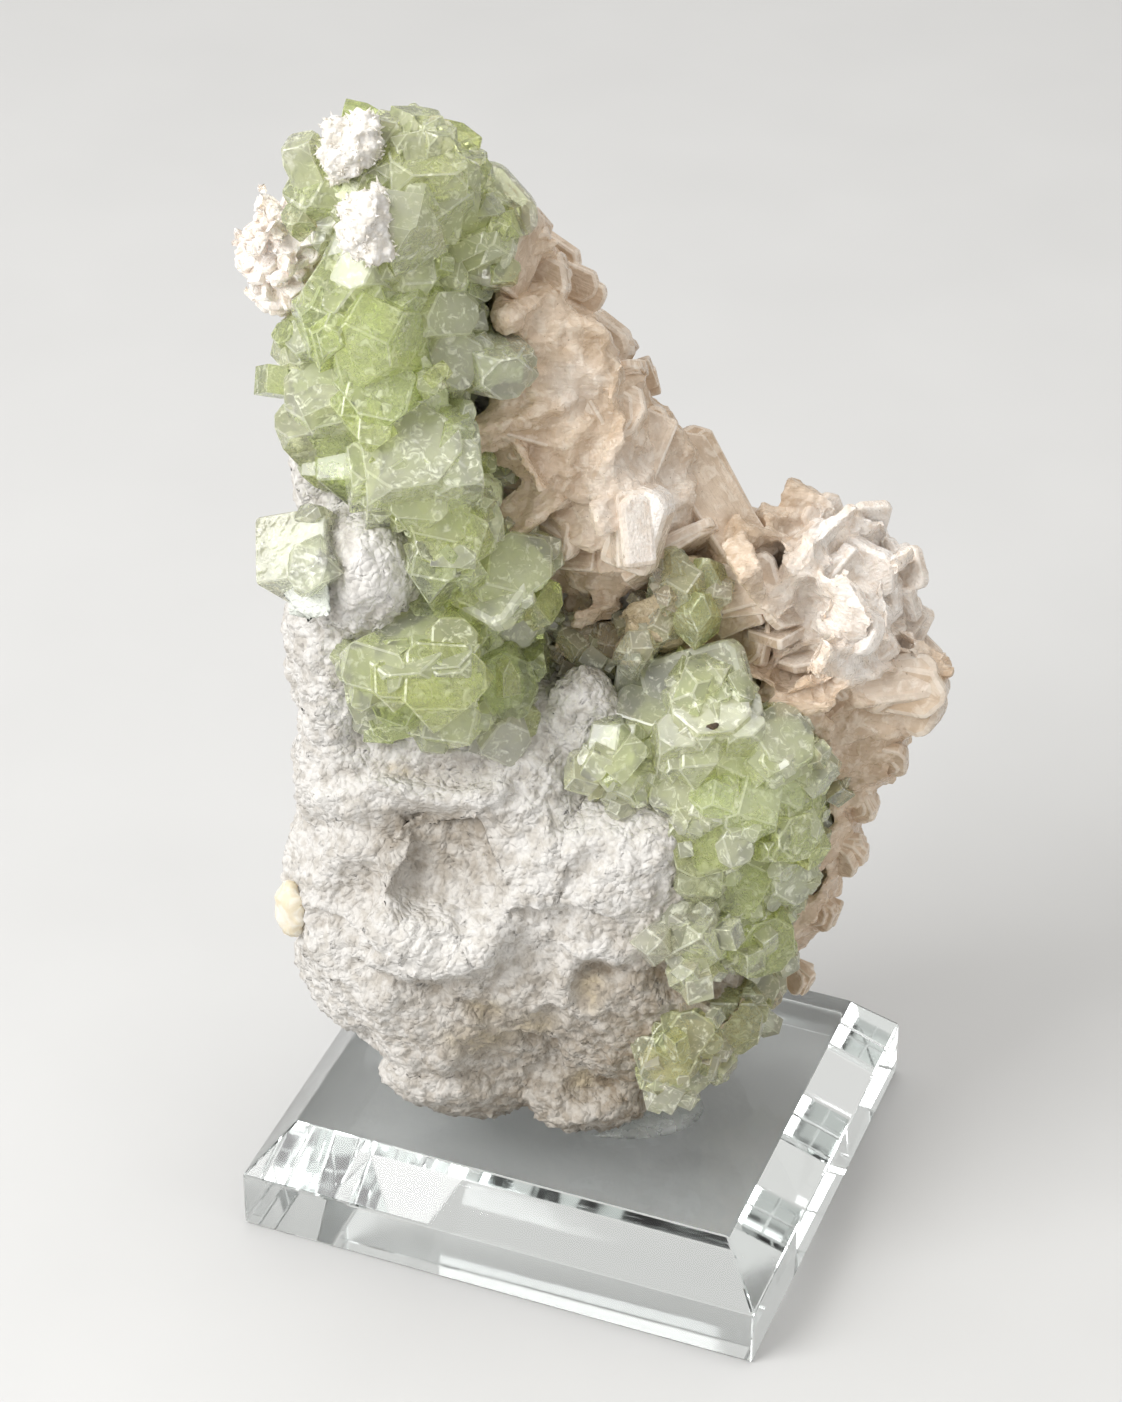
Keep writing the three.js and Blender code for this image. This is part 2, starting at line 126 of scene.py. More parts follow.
# Stilbite blades.
BLADE_POINT = radians(38)  # how steeply a stilbite blade's end comes to its point
LEAF_STEP = 0.8  # from one leaf of a sheaf to the next, by the thickness in its table
LEAF_THICK = 1.3
LEAF_WEAR = 0.28
BALL_RISE = 0.78  # how far the first petals of a ball point to the eye
BALL_FALL = 1.05  # how much less the last ones do
BALL_REACH = 1.7  # of the radius, past which a petal is left out
SPIRAL_TURN = 2.4  # from one petal of a ball to the next, which spreads them evenly
BALL_PIXELS_PER_MM = 5.5  # under the picture's own scale of 6.4, to stay within the petals
BALL_SINK = 1.6  # how far the mass lies in under the petals of a ball

NEEDLE_FOOT = (0.15, 0.32)
NEEDLE_TIP = 0.04
NEEDLE_LENGTH = (0.5, 1.0)
BLOCK_EDGE = 0.35  # how far the edges of the clear block are rounded

# Softboxes: how far right, up and towards the eye from the specimen's middle, size and power.
SOFTBOXES = {
    "key": (-720, 640, 420, (620, 620), 10),
    "top": (60, 900, -100, (500, 300), 2),
    "fill": (700, 350, 500, (400, 600), 0.8),
}
SKY_COLOUR = (1.0, 0.985, 0.96)
SKY_DIM = 0.18
SKY_BRIGHT = 0.85
# Light is reflected many times inside the block before it comes out again.
BOUNCES = 24
GLOSSY_BOUNCES = 20
CLEAR_BOUNCES = 14
FLOOR_HALF = 2500
FLOOR_DROP = 0.2  # below the block, so that the two faces don't touch

# Tints of a crystal: how deep its green is, and how far it leans to yellow.
TINTS = {
    "clear": (0.2, 0.45),
    "pale": (0.38, 0.4),
    "cream": (0.25, 0.8),
    "yellow": (0.5, 0.55),
    "green": (0.72, 0.35),
    "deep": (0.92, 0.35),
    "olive": (0.9, 0.58),
    "tan": (0.6, 1.5),
}

# Apophyllite crystals that show in the photograph: pixel of the head, how far it stands out of
# the surface, width, depth as a share of width, length, lean to the right and tilt upwards from
# the line of sight, turn about its own axis, how much of the base face the pyramid leaves, tint.
CRYSTAL_FIELDS = "u v out width flat length lean tilt turn top tint".split()
COLUMN_CRYSTALS = [
    (298, 140, 0.5, 4.5, 1, 9, -35, 50, 10, 0.9, "clear"),
    (307, 180, 0.5, 9, 1, 14, -35, 20, 25, 0.75, "green"),
    (323, 212, 0.5, 6, 1, 10, -20, 15, 40, 0.7, "pale"),
    (388, 116, 0.5, 6, 0.9, 11, 5, 55, 20, 0.6, "cream"),
    (410, 117, 0.5, 6, 0.9, 11, 5, 55, 30, 0.6, "cream"),
    (438, 126, 0, 5.5, 1, 11, 20, 55, 15, 0.8, "yellow"),
    (428, 157, 1, 11, 0.7, 14, 10, 40, 5, 0.85, "yellow"),
    (473, 152, 0.5, 6, 0.5, 14, 35, 50, 15, 0.8, "clear"),
    (458, 176, 0, 9, 0.8, 14, 35, 35, 15, 0.7, "pale"),
    (505, 236, 0, 7, 0.7, 14, 45, 15, 20, 0.6, "yellow"),
    (484, 288, 1, 6, 0.7, 11, 40, -5, 30, 0.8, "green"),
    (398, 210, 1, 8.5, 0.9, 12, -5, 20, 35, 0.6, "clear"),
    (342, 246, 0, 6.5, 1, 10, -15, 5, 20, 0.5, "pale"),
    (350, 266, 0.5, 7, 1, 10, -20, 10, 20, 0.7, "pale"),
    (332, 284, 0.5, 9, 1, 12, -15, 15, 15, 0.75, "green"),
    (306, 292, 0, 4, 1, 8, -40, 5, 20, 0.7, "deep"),
    (376, 318, 1.2, 13.5, 1, 16, 4, 12, 20, 0.36, "deep"),
    (418, 268, 0.5, 8, 0.8, 11, 15, 20, 55, 0.6, "yellow"),
    (454, 314, 1.5, 10.5, 0.6, 15, 45, 5, 5, 0.85, "yellow"),
    (508, 380, 0.5, 8.5, 0.8, 18, 35, -30, 12, 0.85, "clear"),
    (452, 362, 1, 10, 0.9, 13, 15, -8, 20, 0.7, "clear"),
    (300, 334, 0, 7, 0.8, 12, -45, 10, 15, 0.8, "pale"),
    (320, 392, 0.6, 11.5, 1, 14, -22, 22, 12, 0.92, "pale"),
    (382, 388, 0.5, 10, 1, 12, 5, 0, 35, 0.7, "deep"),
    (352, 352, 0, 6, 1, 9, -10, -10, 45, 0.6, "green"),
    (338, 458, 0.8, 9, 1, 12, -15, 5, 45, 0.75, "deep"),
    (411, 440, 1, 14.5, 1, 17, 5, 20, 8, 0.86, "pale"),
    (458, 438, 0.5, 9, 0.5, 13, 30, -5, 70, 0.7, "green"),
    (414, 494, 0.5, 7, 1, 12, 5, -8, 40, 0.7, "yellow"),
    (444, 512, 1, 11, 0.9, 14, 15, -5, 30, 0.8, "olive"),
    (420, 492, 0, 10, 1, 14, 10, -5, 45, 0.8, "pale"),
    (482, 502, 1, 5, 0.4, 12, 35, -20, 15, 0.6, "clear"),
    (452, 535, 0.5, 11, 1, 14, 5, -10, 25, 0.65, "olive"),
    (432, 560, 0, 8, 1, 11, -5, 10, 35, 0.7, "green"),
    (516, 566, 1, 13, 0.7, 15, 20, 12, 35, 0.75, "yellow"),
    (480, 590, 0, 7.5, 1, 11, 0, 0, 20, 0.7, "olive"),
    (526, 618, 1.5, 14, 0.65, 16, 25, -5, 12, 0.55, "clear"),
    (431, 600, 1, 6.5, 1, 10, 0, 10, 30, 0.75, "green"),
    (466, 622, 0.5, 8, 1, 11, 10, 15, 50, 0.7, "green"),
    (412, 640, 1.2, 13, 0.9, 15, -5, 30, 5, 0.9, "pale"),
    (371, 668, 0.5, 9.5, 1, 13, -15, -5, 30, 0.75, "pale"),
    (340, 652, 0, 5, 1, 8, -30, 15, 20, 0.6, "green"),
    (440, 678, 1, 12.5, 1, 14, 8, -3, 45, 0.8, "olive"),
    (398, 702, 0.5, 8, 1, 11, -5, -15, 20, 0.7, "deep"),
    (504, 690, 1, 11, 1, 14, 22, -12, 25, 0.72, "deep"),
    (538, 668, 0.5, 7.5, 1, 11, 35, 0, 10, 0.7, "olive"),
    (395, 716, 0.5, 8.5, 1, 12, -5, -30, 15, 0.8, "deep"),
    (450, 726, 0.8, 9.5, 1, 12, 5, -22, 35, 0.6, "pale"),
    (506, 746, 0.3, 8, 1, 11, 15, -30, 20, 0.7, "clear"),
    (524, 722, 0.3, 6, 1, 9, 25, -15, 35, 0.7, "olive"),
]
# Ovals of the picture in which no smaller crystals grow: pixel of the middle, half width and height.
KEPT_CLEAR = [
    (374, 565, 52, 66),
    (350, 140, 24, 34),
    (366, 230, 20, 36),
    (288, 545, 46, 40),
    (706, 556, 30, 36),
]
LOBE_CRYSTALS = [
    (700, 668, 0.8, 9, 0.5, 15, 20, 45, 60, 0.75, "pale"),
    (643, 704, 0.8, 9, 1, 13, -10, 35, 25, 0.7, "clear"),
    (710, 702, 0.8, 12, 0.9, 15, 5, 32, 5, 0.9, "cream"),
    (604, 742, 0.3, 8, 1, 12, -20, 10, 40, 0.55, "pale"),
    (643, 734, 1, 7.5, 1, 11, -5, 10, 15, 0.75, "pale"),
    (697, 746, 1.2, 9, 0.9, 12, 5, 10, 50, 0.6, "clear"),
    (738, 754, 1, 7.5, 1, 11, 15, 5, 20, 0.7, "yellow"),
    (786, 735, 0.8, 10, 1, 14, 30, 25, 25, 0.8, "yellow"),
    (818, 771, 0.3, 7.5, 0.9, 12, 50, 5, 35, 0.7, "clear"),
    (763, 800, 1.2, 12, 0.9, 15, 22, 5, 30, 0.55, "green"),
    (808, 806, 0.3, 9, 1, 13, 45, 0, 10, 0.75, "yellow"),
    (672, 790, 1, 8, 1, 11, -5, 0, 35, 0.7, "yellow"),
    (626, 784, 1, 8, 1, 12, -15, -5, 20, 0.35, "clear"),
    (708, 798, 1.2, 9, 1, 12, 0, 0, 30, 0.5, "clear"),
    (706, 840, 1, 11, 1, 14, 5, -10, 15, 0.8, "olive"),
    (738, 846, 1, 7, 0.8, 11, 12, -5, 60, 0.7, "clear"),
    (764, 848, 0.8, 8, 1, 11, 18, -15, 20, 0.8, "olive"),
    (801, 838, 0.3, 9, 0.8, 13, 40, -10, 10, 0.85, "olive"),
    (797, 882, 0.3, 8.5, 1, 13, 40, -20, 25, 0.7, "clear"),
    (745, 888, 0.5, 10, 1, 13, 12, -15, 20, 0.7, "olive"),
    (700, 880, 0.5, 8, 1, 11, 0, -10, 40, 0.7, "green"),
    (738, 930, 0.5, 10.5, 1, 14, 15, -15, 40, 0.8, "yellow"),
    (769, 948, 0.3, 9.5, 1, 13, 30, -20, 15, 0.85, "olive"),
    (700, 936, 1.5, 10.5, 1, 14, 8, 5, 45, 0.06, "clear"),
    (672, 912, 0.5, 7, 1, 10, -10, 0, 25, 0.6, "pale"),
]
FOOT_CRYSTALS = [
    (726, 1028, 0.5, 12, 1, 14, 15, -25, 40, 0.75, "olive"),
    (755, 996, 0.3, 9, 1, 12, 25, -20, 15, 0.8, "yellow"),
    (690, 1036, 0.3, 8, 1, 12, 5, -15, 10, 0.7, "olive"),
    (667, 1063, 0.5, 9.5, 1, 12, 0, -20, 25, 0.7, "olive"),
    (705, 1068, 0.3, 7.5, 1, 11, 8, -25, 35, 0.55, "clear"),
    (668, 1100, 0.2, 6, 1, 10, 0, -30, 20, 0.6, "clear"),
]
CREVICE_CRYSTALS = [
    (706, 560, 0, 9.5, 1, 15, 5, 30, 40, 0.1, "deep"),
    (681, 577, 0, 7, 1, 11, -5, 15, 15, 0.5, "yellow"),
    (722, 590, 0, 5, 1, 9, 25, 5, 35, 0.5, "cream"),
    (664, 622, 0, 5, 1, 9, 10, 15, 20, 0.5, "cream"),
    (612, 636, 0, 5.5, 1, 9, 10, 15, 30, 0.6, "tan"),
    (640, 640, 0, 5, 1, 9, 5, 20, 50, 0.6, "clear"),
    (577, 634, 0, 6, 1, 9, 5, 15, 40, 0.6, "tan"),
    (592, 660, 0, 5, 1, 8, 5, 5, 10, 0.6, "yellow"),
]
LEFT_BLOCK_CRYSTALS = [
    (290, 545, 0.3, 11.5, 0.9, 13, -24, 14, 8, 1.1, "clear"),
    (306, 566, 0.3, 7, 1, 12, -20, -5, 30, 0.8, "clear"),
]
# Rounded apophyllite paddles that show their broad side: pixel of the tip, width, thickness,
# length, direction in the picture in degrees, slant towards the eye, roll, tint.
PADDLE_FIELDS = "u v width thick length toward slant roll tint".split()
PADDLES = {
    "apophyllite_column": [
        (520, 184, 12.5, 4.5, 24, 40, 12, 12, "yellow"),
        (512, 262, 9, 3.5, 14, -20, 15, 10, "cream"),
        (520, 610, 9, 4, 12, -30, 30, -10, "clear"),
    ],
    "apophyllite_lobe": [
        (640, 650, 6, 4, 11, 80, 30, 0, "clear"),
        (746, 664, 9, 4.5, 17, 15, 25, 0, "clear"),
    ],
}

GREENS = ("pale", "green", "yellow", "clear", "deep", "olive")
LOBE_TINTS = ("pale", "yellow", "clear", "cream", "olive")
# For each apophyllite node, its table, how many small crystals fill it up, their widths, their
# tints, the finish of its heart, and how far in the heart lies.
APOPHYLLITE = {
    "apophyllite_column": (COLUMN_CRYSTALS, 330, (2.2, 5), GREENS, "green", 2.0),
    "apophyllite_lobe": (LOBE_CRYSTALS, 300, (2, 4.5), LOBE_TINTS, "green", 2.0),
    "apophyllite_foot": (FOOT_CRYSTALS, 60, (1.8, 4), ("yellow", "olive", "clear", "tan"), "tan", 2.0),
    "apophyllite_crevice": (CREVICE_CRYSTALS, 70, (1.6, 3.6), ("tan", "cream", "tan", "yellow"), "tan", 1.5),
    "apophyllite_left_block": (LEFT_BLOCK_CRYSTALS, 4, (2, 3), ("clear",), "clear", 2.0),
}

# The dark grain that lies on the lobe: its pixel, and half its thicknesses and length.
GRAIN_NODE = "apophyllite_lobe"
GRAIN_PIXEL = (712, 727)
GRAIN_HALF = (0.45, 0.5, 1.1)

# Stilbite slabs that show in the photograph: pixel of the tip, width and length of a leaf, its
# thickness, direction in the picture in degrees from right to up, slant towards the eye, roll about
# its length from showing its broad face, leaves, and degrees that they open.
SLAB_FIELDS = "u v width length thick toward slant roll leaves spread".split()
FLANK_SLABS = [
    (502, 412, 7, 11, 3.0, 165, 25, 10, 1, 0),
    (500, 440, 8, 11, 3.0, 185, 25, -10, 1, 0),
    (505, 474, 8, 12, 3.0, 200, 25, 10, 2, 14),
    (541, 206, 8, 14, 2.0, 62, -5, 60, 3, 12),
    (556, 238, 8, 14, 2.0, 20, 0, 60, 2, 12),
    (588, 276, 5, 15, 1.8, -35, 5, 30, 2, 8),
    (784, 578, 9, 13, 2.4, 10, 15, 10, 2, 8),
    (611, 299, 5.5, 21, 1.6, -25, 5, 20, 2, 6),
    (612, 316, 11, 15, 2.8, 58, 22, -15, 2, 8),
    (634, 340, 9, 18, 1.1, 28, 12, 80, 9, 14),
    (648, 368, 7, 16, 1.1, 12, 8, 75, 5, 10),
    (665, 374, 5, 17, 1.6, 14, 8, 25, 2, 8),
    (655, 400, 7, 15, 2.5, 72, 8, 5, 2, 6),
    (678, 430, 11, 24, 1.6, 118, 8, 30, 4, 8),
    (704, 458, 9, 18, 1.2, 70, 8, 80, 7, 12),
    (718, 490, 8, 18, 1.2, 50, 8, 80, 6, 12),
    (724, 524, 8, 17, 1.2, 25, 5, 75, 5, 12),
    (652, 480, 10, 14, 5.0, 74, 18, -15, 1, 0),
    (628, 486, 6, 12, 3.0, 95, 14, 20, 2, 8),
    (606, 558, 5, 10, 4.0, -5, 28, 0, 1, 0),
    (640, 592, 5.5, 10, 4.0, -72, 28, 10, 1, 0),
    (580, 548, 6, 12, 2.5, -30, 30, 30, 2, 12),
    (572, 590, 6, 10, 2.0, -60, 30, 20, 2, 12),
    (598, 596, 6, 10, 2.0, -80, 30, 10, 2, 12),
    (745, 521, 5, 9, 1.6, 70, 10, 20, 2, 12),
    (757, 528, 4, 9, 1.4, 50, 15, 40, 2, 12),
    (838, 522, 9, 14, 2.2, 100, 30, 10, 1, 0),
    (872, 538, 9, 14, 2.2, 62, 32, -12, 1, 0),
    (902, 562, 9, 14, 2.2, 25, 32, 10, 1, 0),
    (906, 602, 8, 14, 2.2, -12, 32, 20, 1, 0),
    (826, 562, 9, 12, 2.0, 140, 45, 5, 2, 12),
    (866, 582, 9, 12, 2.0, 55, 52, -8, 2, 12),
    (852, 614, 8, 12, 2.0, -50, 50, 10, 2, 12),
    (836, 642, 8, 12, 2.0, -100, 40, 10, 2, 12),
    (880, 646, 8, 12, 2.0, -40, 36, 20, 2, 12),
    (790, 548, 6, 18, 1.6, -12, 10, 25, 3, 12),
    (776, 574, 6, 17, 1.6, -18, 14, 40, 3, 12),
    (566, 300, 10, 16, 2.4, -30, 20, 10, 3, 12),
    (602, 402, 12, 18, 2.2, 20, 25, 20, 3, 14),
    (640, 430, 11, 18, 2.4, -28, 18, -10, 3, 12),
    (580, 470, 12, 17, 2.0, -15, 28, 20, 3, 16),
    (735, 606, 6, 11, 1.6, -10, 30, 10, 2, 14),
    (762, 606, 5, 9, 1.4, 20, 40, 20, 3, 18),
    (745, 640, 7, 12, 1.4, -40, 35, 30, 3, 20),
    (772, 652, 7, 12, 1.4, -20, 40, 10, 3, 20),
    (950, 662, 9, 16, 5.0, 12, 5, 0, 1, 0),
    (962, 690, 9, 17, 5.0, -8, 10, 20, 1, 0),
    (946, 716, 8, 15, 4.5, -28, 12, 30, 1, 0),
    (905, 694, 8, 12, 4.0, -20, 38, 10, 1, 0),
    (925, 652, 7, 12, 3.5, 25, 30, 20, 1, 0),
    (912, 762, 8, 13, 1.6, -10, 10, 60, 4, 26),
    (880, 812, 8, 12, 1.4, -25, 15, 50, 5, 34),
    (868, 862, 8, 12, 1.2, -20, 10, 60, 5, 40),
    (838, 920, 7, 11, 1.2, -30, 10, 50, 5, 40),
    (812, 985, 6, 10, 1.2, -35, 10, 50, 5, 40),
]
# Balls of blades that grow out from one middle: its pixel, its radius, and the blades' number,
# width and thickness.
BALL_FIELDS = "u v radius blades width thick".split()
FLANK_BALLS = [
    (857, 588, 14, 84, 9.0, 1.4),
    (806, 668, 7, 24, 4.5, 1.1),
]
KNOB_BALLS = [
    (264, 240, 8, 60, 3.4, 0.8),
]
# Lumps that close the gaps of the flank: pixel and radius in millimetres.
FLANK_LUMPS = [
    (800, 566, 4.5),
    (770, 592, 4.0),
    (790, 548, 3.0),
    (580, 612, 4.0),
    (508, 318, 3.5),
    (506, 400, 3.5),
]
# For each stilbite node, its slabs, balls and lumps, how many loose blades lie on it, their widths,
# and the voxel that its mass is made of.
STILBITE = {
    "stilbite_flank": (FLANK_SLABS, FLANK_BALLS, FLANK_LUMPS, 170, (4, 9), 0.75),
    "stilbite_knob": ([], KNOB_BALLS, [], 30, (1.5, 3), 0.4),
}
# Frosty places of the stilbite: pixel, radius in pixels, and strength.
FROST_SPOTS = [
    (655, 510, 24, 0.9),
    (640, 500, 60, 0.35),
    (832, 528, 26, 0.9),
    (893, 606, 20, 1.0),
    (862, 655, 30, 0.8),
    (857, 588, 82, 0.7),
    (870, 545, 46, 0.9),
    (800, 640, 26, 0.4),
    (575, 385, 26, 0.3),
    (262, 236, 90, 0.9),
]
# The two directions that loose blades follow, in degrees in the picture from right to up.
LOOSE_WAYS = (28, -38)

TUFT_NEEDLES = {"crest_tuft": 160, "column_tuft": 130}
# Lumps that spread the tufts: pixel and radius in millimetres.
TUFT_LUMPS = {
    "crest_tuft": [
        (336, 132, 2.2), (334, 150, 2.4), (345, 163, 2.4), (356, 150, 2.8), (362, 128, 2.4), (338, 172, 1.5),
    ],
    "column_tuft": [
        (380, 190, 1.2), (372, 200, 1.4), (368, 214, 1.6), (362, 228, 1.8), (376, 250, 2.2), (356, 244, 1.5),
    ],
}

# Forms of the crust that show in the photograph: pixel of the middle, half width and half height in
# pixels, turn in degrees, and millimetres that the crust is pressed in, or raised where negative.
CRUST_FORMS = [
    (436, 850, 94, 66, 0, 4.5),
    (425, 832, 80, 20, 0, 1.5),
    (440, 776, 56, 22, -3, 2.5),
    (449, 844, 6, 12, 0, 1.5),
    (352, 893, 34, 26, 30, 2.5),
    (425, 792, 92, 13, 2, -2.5),
    (340, 800, 40, 14, 20, -1.5),
    (432, 940, 92, 52, 0, -3.0),
    (345, 930, 60, 8, 25, 1.6),
    (405, 985, 70, 9, 20, 2.0),
    (483, 1010, 26, 12, 10, 1.5),
    (604, 850, 98, 106, 0, -2.2),
    (586, 866, 34, 20, -35, 2.0),
    (560, 915, 60, 12, 4, 1.8),
    (596, 985, 26, 30, 25, 3.0),
    (600, 948, 60, 11, 8, -2.0),
    (545, 1040, 44, 9, 8, 1.6),
    (690, 985, 70, 10, 8, 2.0),
    (580, 1084, 36, 14, 5, 1.8),
    (600, 1110, 44, 16, -5, -2.0),
    (430, 1075, 76, 26, 10, -2.0),
    (325, 760, 30, 70, 10, -1.5),
    (378, 568, 46, 66, 10, -3.5),
]
# Brown spots of the crust, as ovals of the same kind.
BROWN_SPOTS = [
    (484, 1012, 22, 12),
    (535, 1024, 24, 12),
    (590, 996, 16, 16),
    (580, 1082, 16, 12),
    (396, 770, 12, 8),
    (480, 1040, 40, 14),
]


# Tables, places and directions

def smooth(share):
    """Turns a share into one that eases in at 0 and out at 1, where it stays."""
    share = min(max(share, 0), 1)
    return share * share * (3 - 2 * share)


def named(fields, table):
    """The rows of a table as dictionaries."""
    return [dict(zip(fields, row)) for row in table]


def sight_line(u, v):
    across = RIGHT * (u - PICTURE_MIDDLE[0]) - UP * (v - PICTURE_MIDDLE[1])
    return (across - BACK * FOCAL_PIXELS).normalized()


def pixel_of(point):
    """The pixel of the photograph at which a point shows."""
    along = point - EYE
    scale = FOCAL_PIXELS / -along.dot(BACK)
    return PICTURE_MIDDLE[0] + scale * along.dot(RIGHT), PICTURE_MIDDLE[1] - scale * along.dot(UP)


def off_middle(u, v, middle_u, middle_v, half_u, half_v):
    """How far a pixel lies from the middle of an oval of the picture, 1 on its rim."""
    return math.hypot((u - middle_u) / half_u, (v - middle_v) / half_v)


def stray(amount, chance):
    """A small vector that points anywhere."""
    return Vector([chance.gauss(0, amount) for _ in range(3)])


def heading(lean, tilt):
    """The direction that leans right and tilts up, in degrees, from pointing at the eye."""
    a = radians(lean)
    b = radians(tilt)
    return (BACK * math.cos(a) + RIGHT * math.sin(a)) * math.cos(b) + UP * math.sin(b)


def standing(head, axis, turn, upward=UP):
    """The placing of a piece whose head is at its origin and whose axis is local Z."""
    side = upward.cross(axis).normalized()
    turned = Matrix((side, axis.cross(side), axis)).transposed().to_4x4()
    return Matrix.Translation(head) @ turned @ Matrix.Rotation(radians(turn), 4, "Z")


def lying(tip, toward, slant, roll):
    """The placing of a slab by its direction in the picture and its slant towards the eye."""
    a = radians(toward)
    b = radians(slant)
    axis = (RIGHT * math.cos(a) + UP * math.sin(a)) * math.cos(b) + BACK * math.sin(b)
    return standing(tip, axis, roll, BACK)


def merged_copy(*names):
    """A bmesh of some CAD nodes in millimetres, with their loose triangles joined."""
    made = bmesh.new()
    for name in names:
        made.from_mesh(frame["nodes"][name].data)
    bmesh.ops.scale(made, vec=(1 / MM,) * 3, verts=made.verts)
    bmesh.ops.remove_doubles(made, verts=made.verts, dist=0.001)
    return made


class Ground:
    """The surface of CAD nodes, on which crystals are seated."""

    def __init__(self, *names):
        made = merged_copy(*names)
        self.tree = BVHTree.FromBMesh(made)
        bmesh.ops.triangulate(made, faces=made.faces)
        self.triangles = [[v.co.copy() for v in face.verts] for face in made.faces]
        self.areas = [face.calc_area() for face in made.faces]
        made.free()

    def seen_at(self, u, v):
        """The point of the surface on the sight line of a pixel, or the nearest one beside it."""
        line = sight_line(u, v)
        hit = self.tree.ray_cast(EYE, line)[0]
        if hit:
            return hit
        reach = (SPECIMEN_MIDDLE - EYE).length
        for _ in range(NEAREST_TRIES):
            nearest = self.tree.find_nearest(EYE + line * reach)[0]
            reach = (nearest - EYE).dot(line)
        return EYE + line * reach

    def spots(self, count, chance):
        """Random points of the surface with its outward normal."""
        for corners in chance.choices(self.triangles, weights=self.areas, k=count):
            a, b, c = corners
            s = math.sqrt(chance.random())
            t = chance.random()
            normal = (b - a).cross(c - a).normalized()
            yield a * (1 - s) + b * s * (1 - t) + c * s * t, normal


# Solids

def cut_off(made, point, outward):
    """Cuts away what lies beyond a plane, and closes the cut."""
    everything = made.verts[:] + made.edges[:] + made.faces[:]
    rim = bmesh.ops.bisect_plane(
        made, geom=everything, plane_co=point, plane_no=outward, clear_outer=True
    )["geom_cut"]
    edges = [one for one in rim if isinstance(one, bmesh.types.BMEdge)]
    if len(edges) > 2:
        bmesh.ops.contextual_create(made, geom=edges)


def block_below_origin(width, depth, length):
    made = bmesh.new()
    bmesh.ops.create_cube(made, size=1)
    bmesh.ops.scale(made, vec=(width, depth, length), verts=made.verts)
    bmesh.ops.translate(made, vec=(0, 0, -length / 2), verts=made.verts)
    return made


def rounded(made, wear, segments=1):
    """Rounds every edge, and returns the faces that this makes."""
    return bmesh.ops.bevel(
        made, geom=made.edges[:], offset=wear, offset_type="OFFSET", segments=segments,
        profile=0.5, affect="EDGES", material=-1, clamp_overlap=True,
    )["faces"]


def round_and_mark_edges(made, wear, segments=1):
    """Rounds every edge, and marks the faces that this makes as worn edges, which the crystals' finish
    whitens as wear and painted highlight.
    """
    edge_wear_and_highlight = made.faces.layers.float.new("edge_wear_and_highlight")
    for face in rounded(made, wear, segments):
        face[edge_wear_and_highlight] = 1


def crystal(width, depth, length, top, wear, chance):
    """A square prism whose head, at the origin, is cut by four slightly uneven pyramid faces."""
    made = block_below_origin(width, depth, length)
    for x in (-1, 1):
        for y in (-1, 1):
            reach = (width + depth) / 4 * top * chance.uniform(0.7, 1.15)
            outward = Vector((x, y, math.sqrt(2) / math.tan(PYRAMID_SLOPE)))
            outward += stray(0.07, chance)
            cut_off(made, Vector((x * reach, y * reach, 0)), outward)
    round_and_mark_edges(made, wear)
    return made


def blade(width, length, thickness, blunt, start, wear):
    """A thin tablet that comes to a blunt point, its head at the origin, unrolled on a UV map."""
    made = block_below_origin(width, thickness, length)
    for side in (-1, 1):
        outward = Vector((side * math.sin(BLADE_POINT), 0, math.cos(BLADE_POINT)))
        cut_off(made, Vector((side * width * blunt, 0, 0)), outward)
    round_and_mark_edges(made, wear, segments=2)
    unroll(made, lambda at: (start + at.x, at.z + at.y))
    return made


def unroll(made, place):
    """Lays a UV map on every face, in millimetres across and along the grain."""
    layer = made.loops.layers.uv.new("grain")
    for face in made.faces:
        for corner in face.loops:
            corner[layer].uv = place(corner.vert.co)


def mesh_of(made, name="part"):
    mesh = bpy.data.meshes.new(name)
    made.to_mesh(mesh)
    made.free()
    return mesh


def piece(made, name, *finishes):
    """The finished object of a bmesh in millimetres."""
    bmesh.ops.scale(made, vec=(MM,) * 3, verts=made.verts)
    mesh = mesh_of(made, name)
    for finish in finishes:
        mesh.materials.append(finish)
    new = bpy.data.objects.new(name, mesh)
    bpy.context.scene.collection.objects.link(new)
    return new


def evaluated(mesh, *modifiers):
    """A mesh with modifiers applied, each a kind and its settings."""
    holder = bpy.data.objects.new("holder", mesh)
    bpy.context.scene.collection.objects.link(holder)
    for kind, settings in modifiers:
        modifier = holder.modifiers.new(kind, kind)
        for name, value in settings.items():
            setattr(modifier, name, value)
    graph = bpy.context.evaluated_depsgraph_get()
    result = bpy.data.meshes.new_from_object(holder.evaluated_get(graph))
    bpy.data.objects.remove(holder)
    return result


def remeshed(made, voxel, passes):
    """A bmesh made again from voxels and smoothed, so that its creases melt together."""
    mesh = evaluated(
        mesh_of(made),
        ("REMESH", {"mode": "VOXEL", "voxel_size": voxel}),
        ("SMOOTH", {"factor": 0.5, "iterations": passes}),
    )
    result = bmesh.new()
    result.from_mesh(mesh)
    return result


def grown_together(parts):
    """The union of overlapping closed bmeshes."""
    scratch = bpy.data.collections.new("scratch")
    for made in parts[1:]:
        scratch.objects.link(bpy.data.objects.new("part", mesh_of(made)))
    union = {"operation": "UNION", "operand_type": "COLLECTION", "collection": scratch}
    mesh = evaluated(mesh_of(parts[0]), ("BOOLEAN", {**union, "solver": "MANIFOLD"}))
    for part in list(scratch.objects):
        bpy.data.objects.remove(part)
    bpy.data.collections.remove(scratch)
    result = bmesh.new()
    result.from_mesh(mesh)
    return result


def displaced(made, relief):
    """Moves each vertex along its normal by relief, a function of its place and normal."""
    made.normal_update()
    moves = [(v, v.normal * relief(v.co, v.normal)) for v in made.verts]
    for vertex, move in moves:
        vertex.co += move


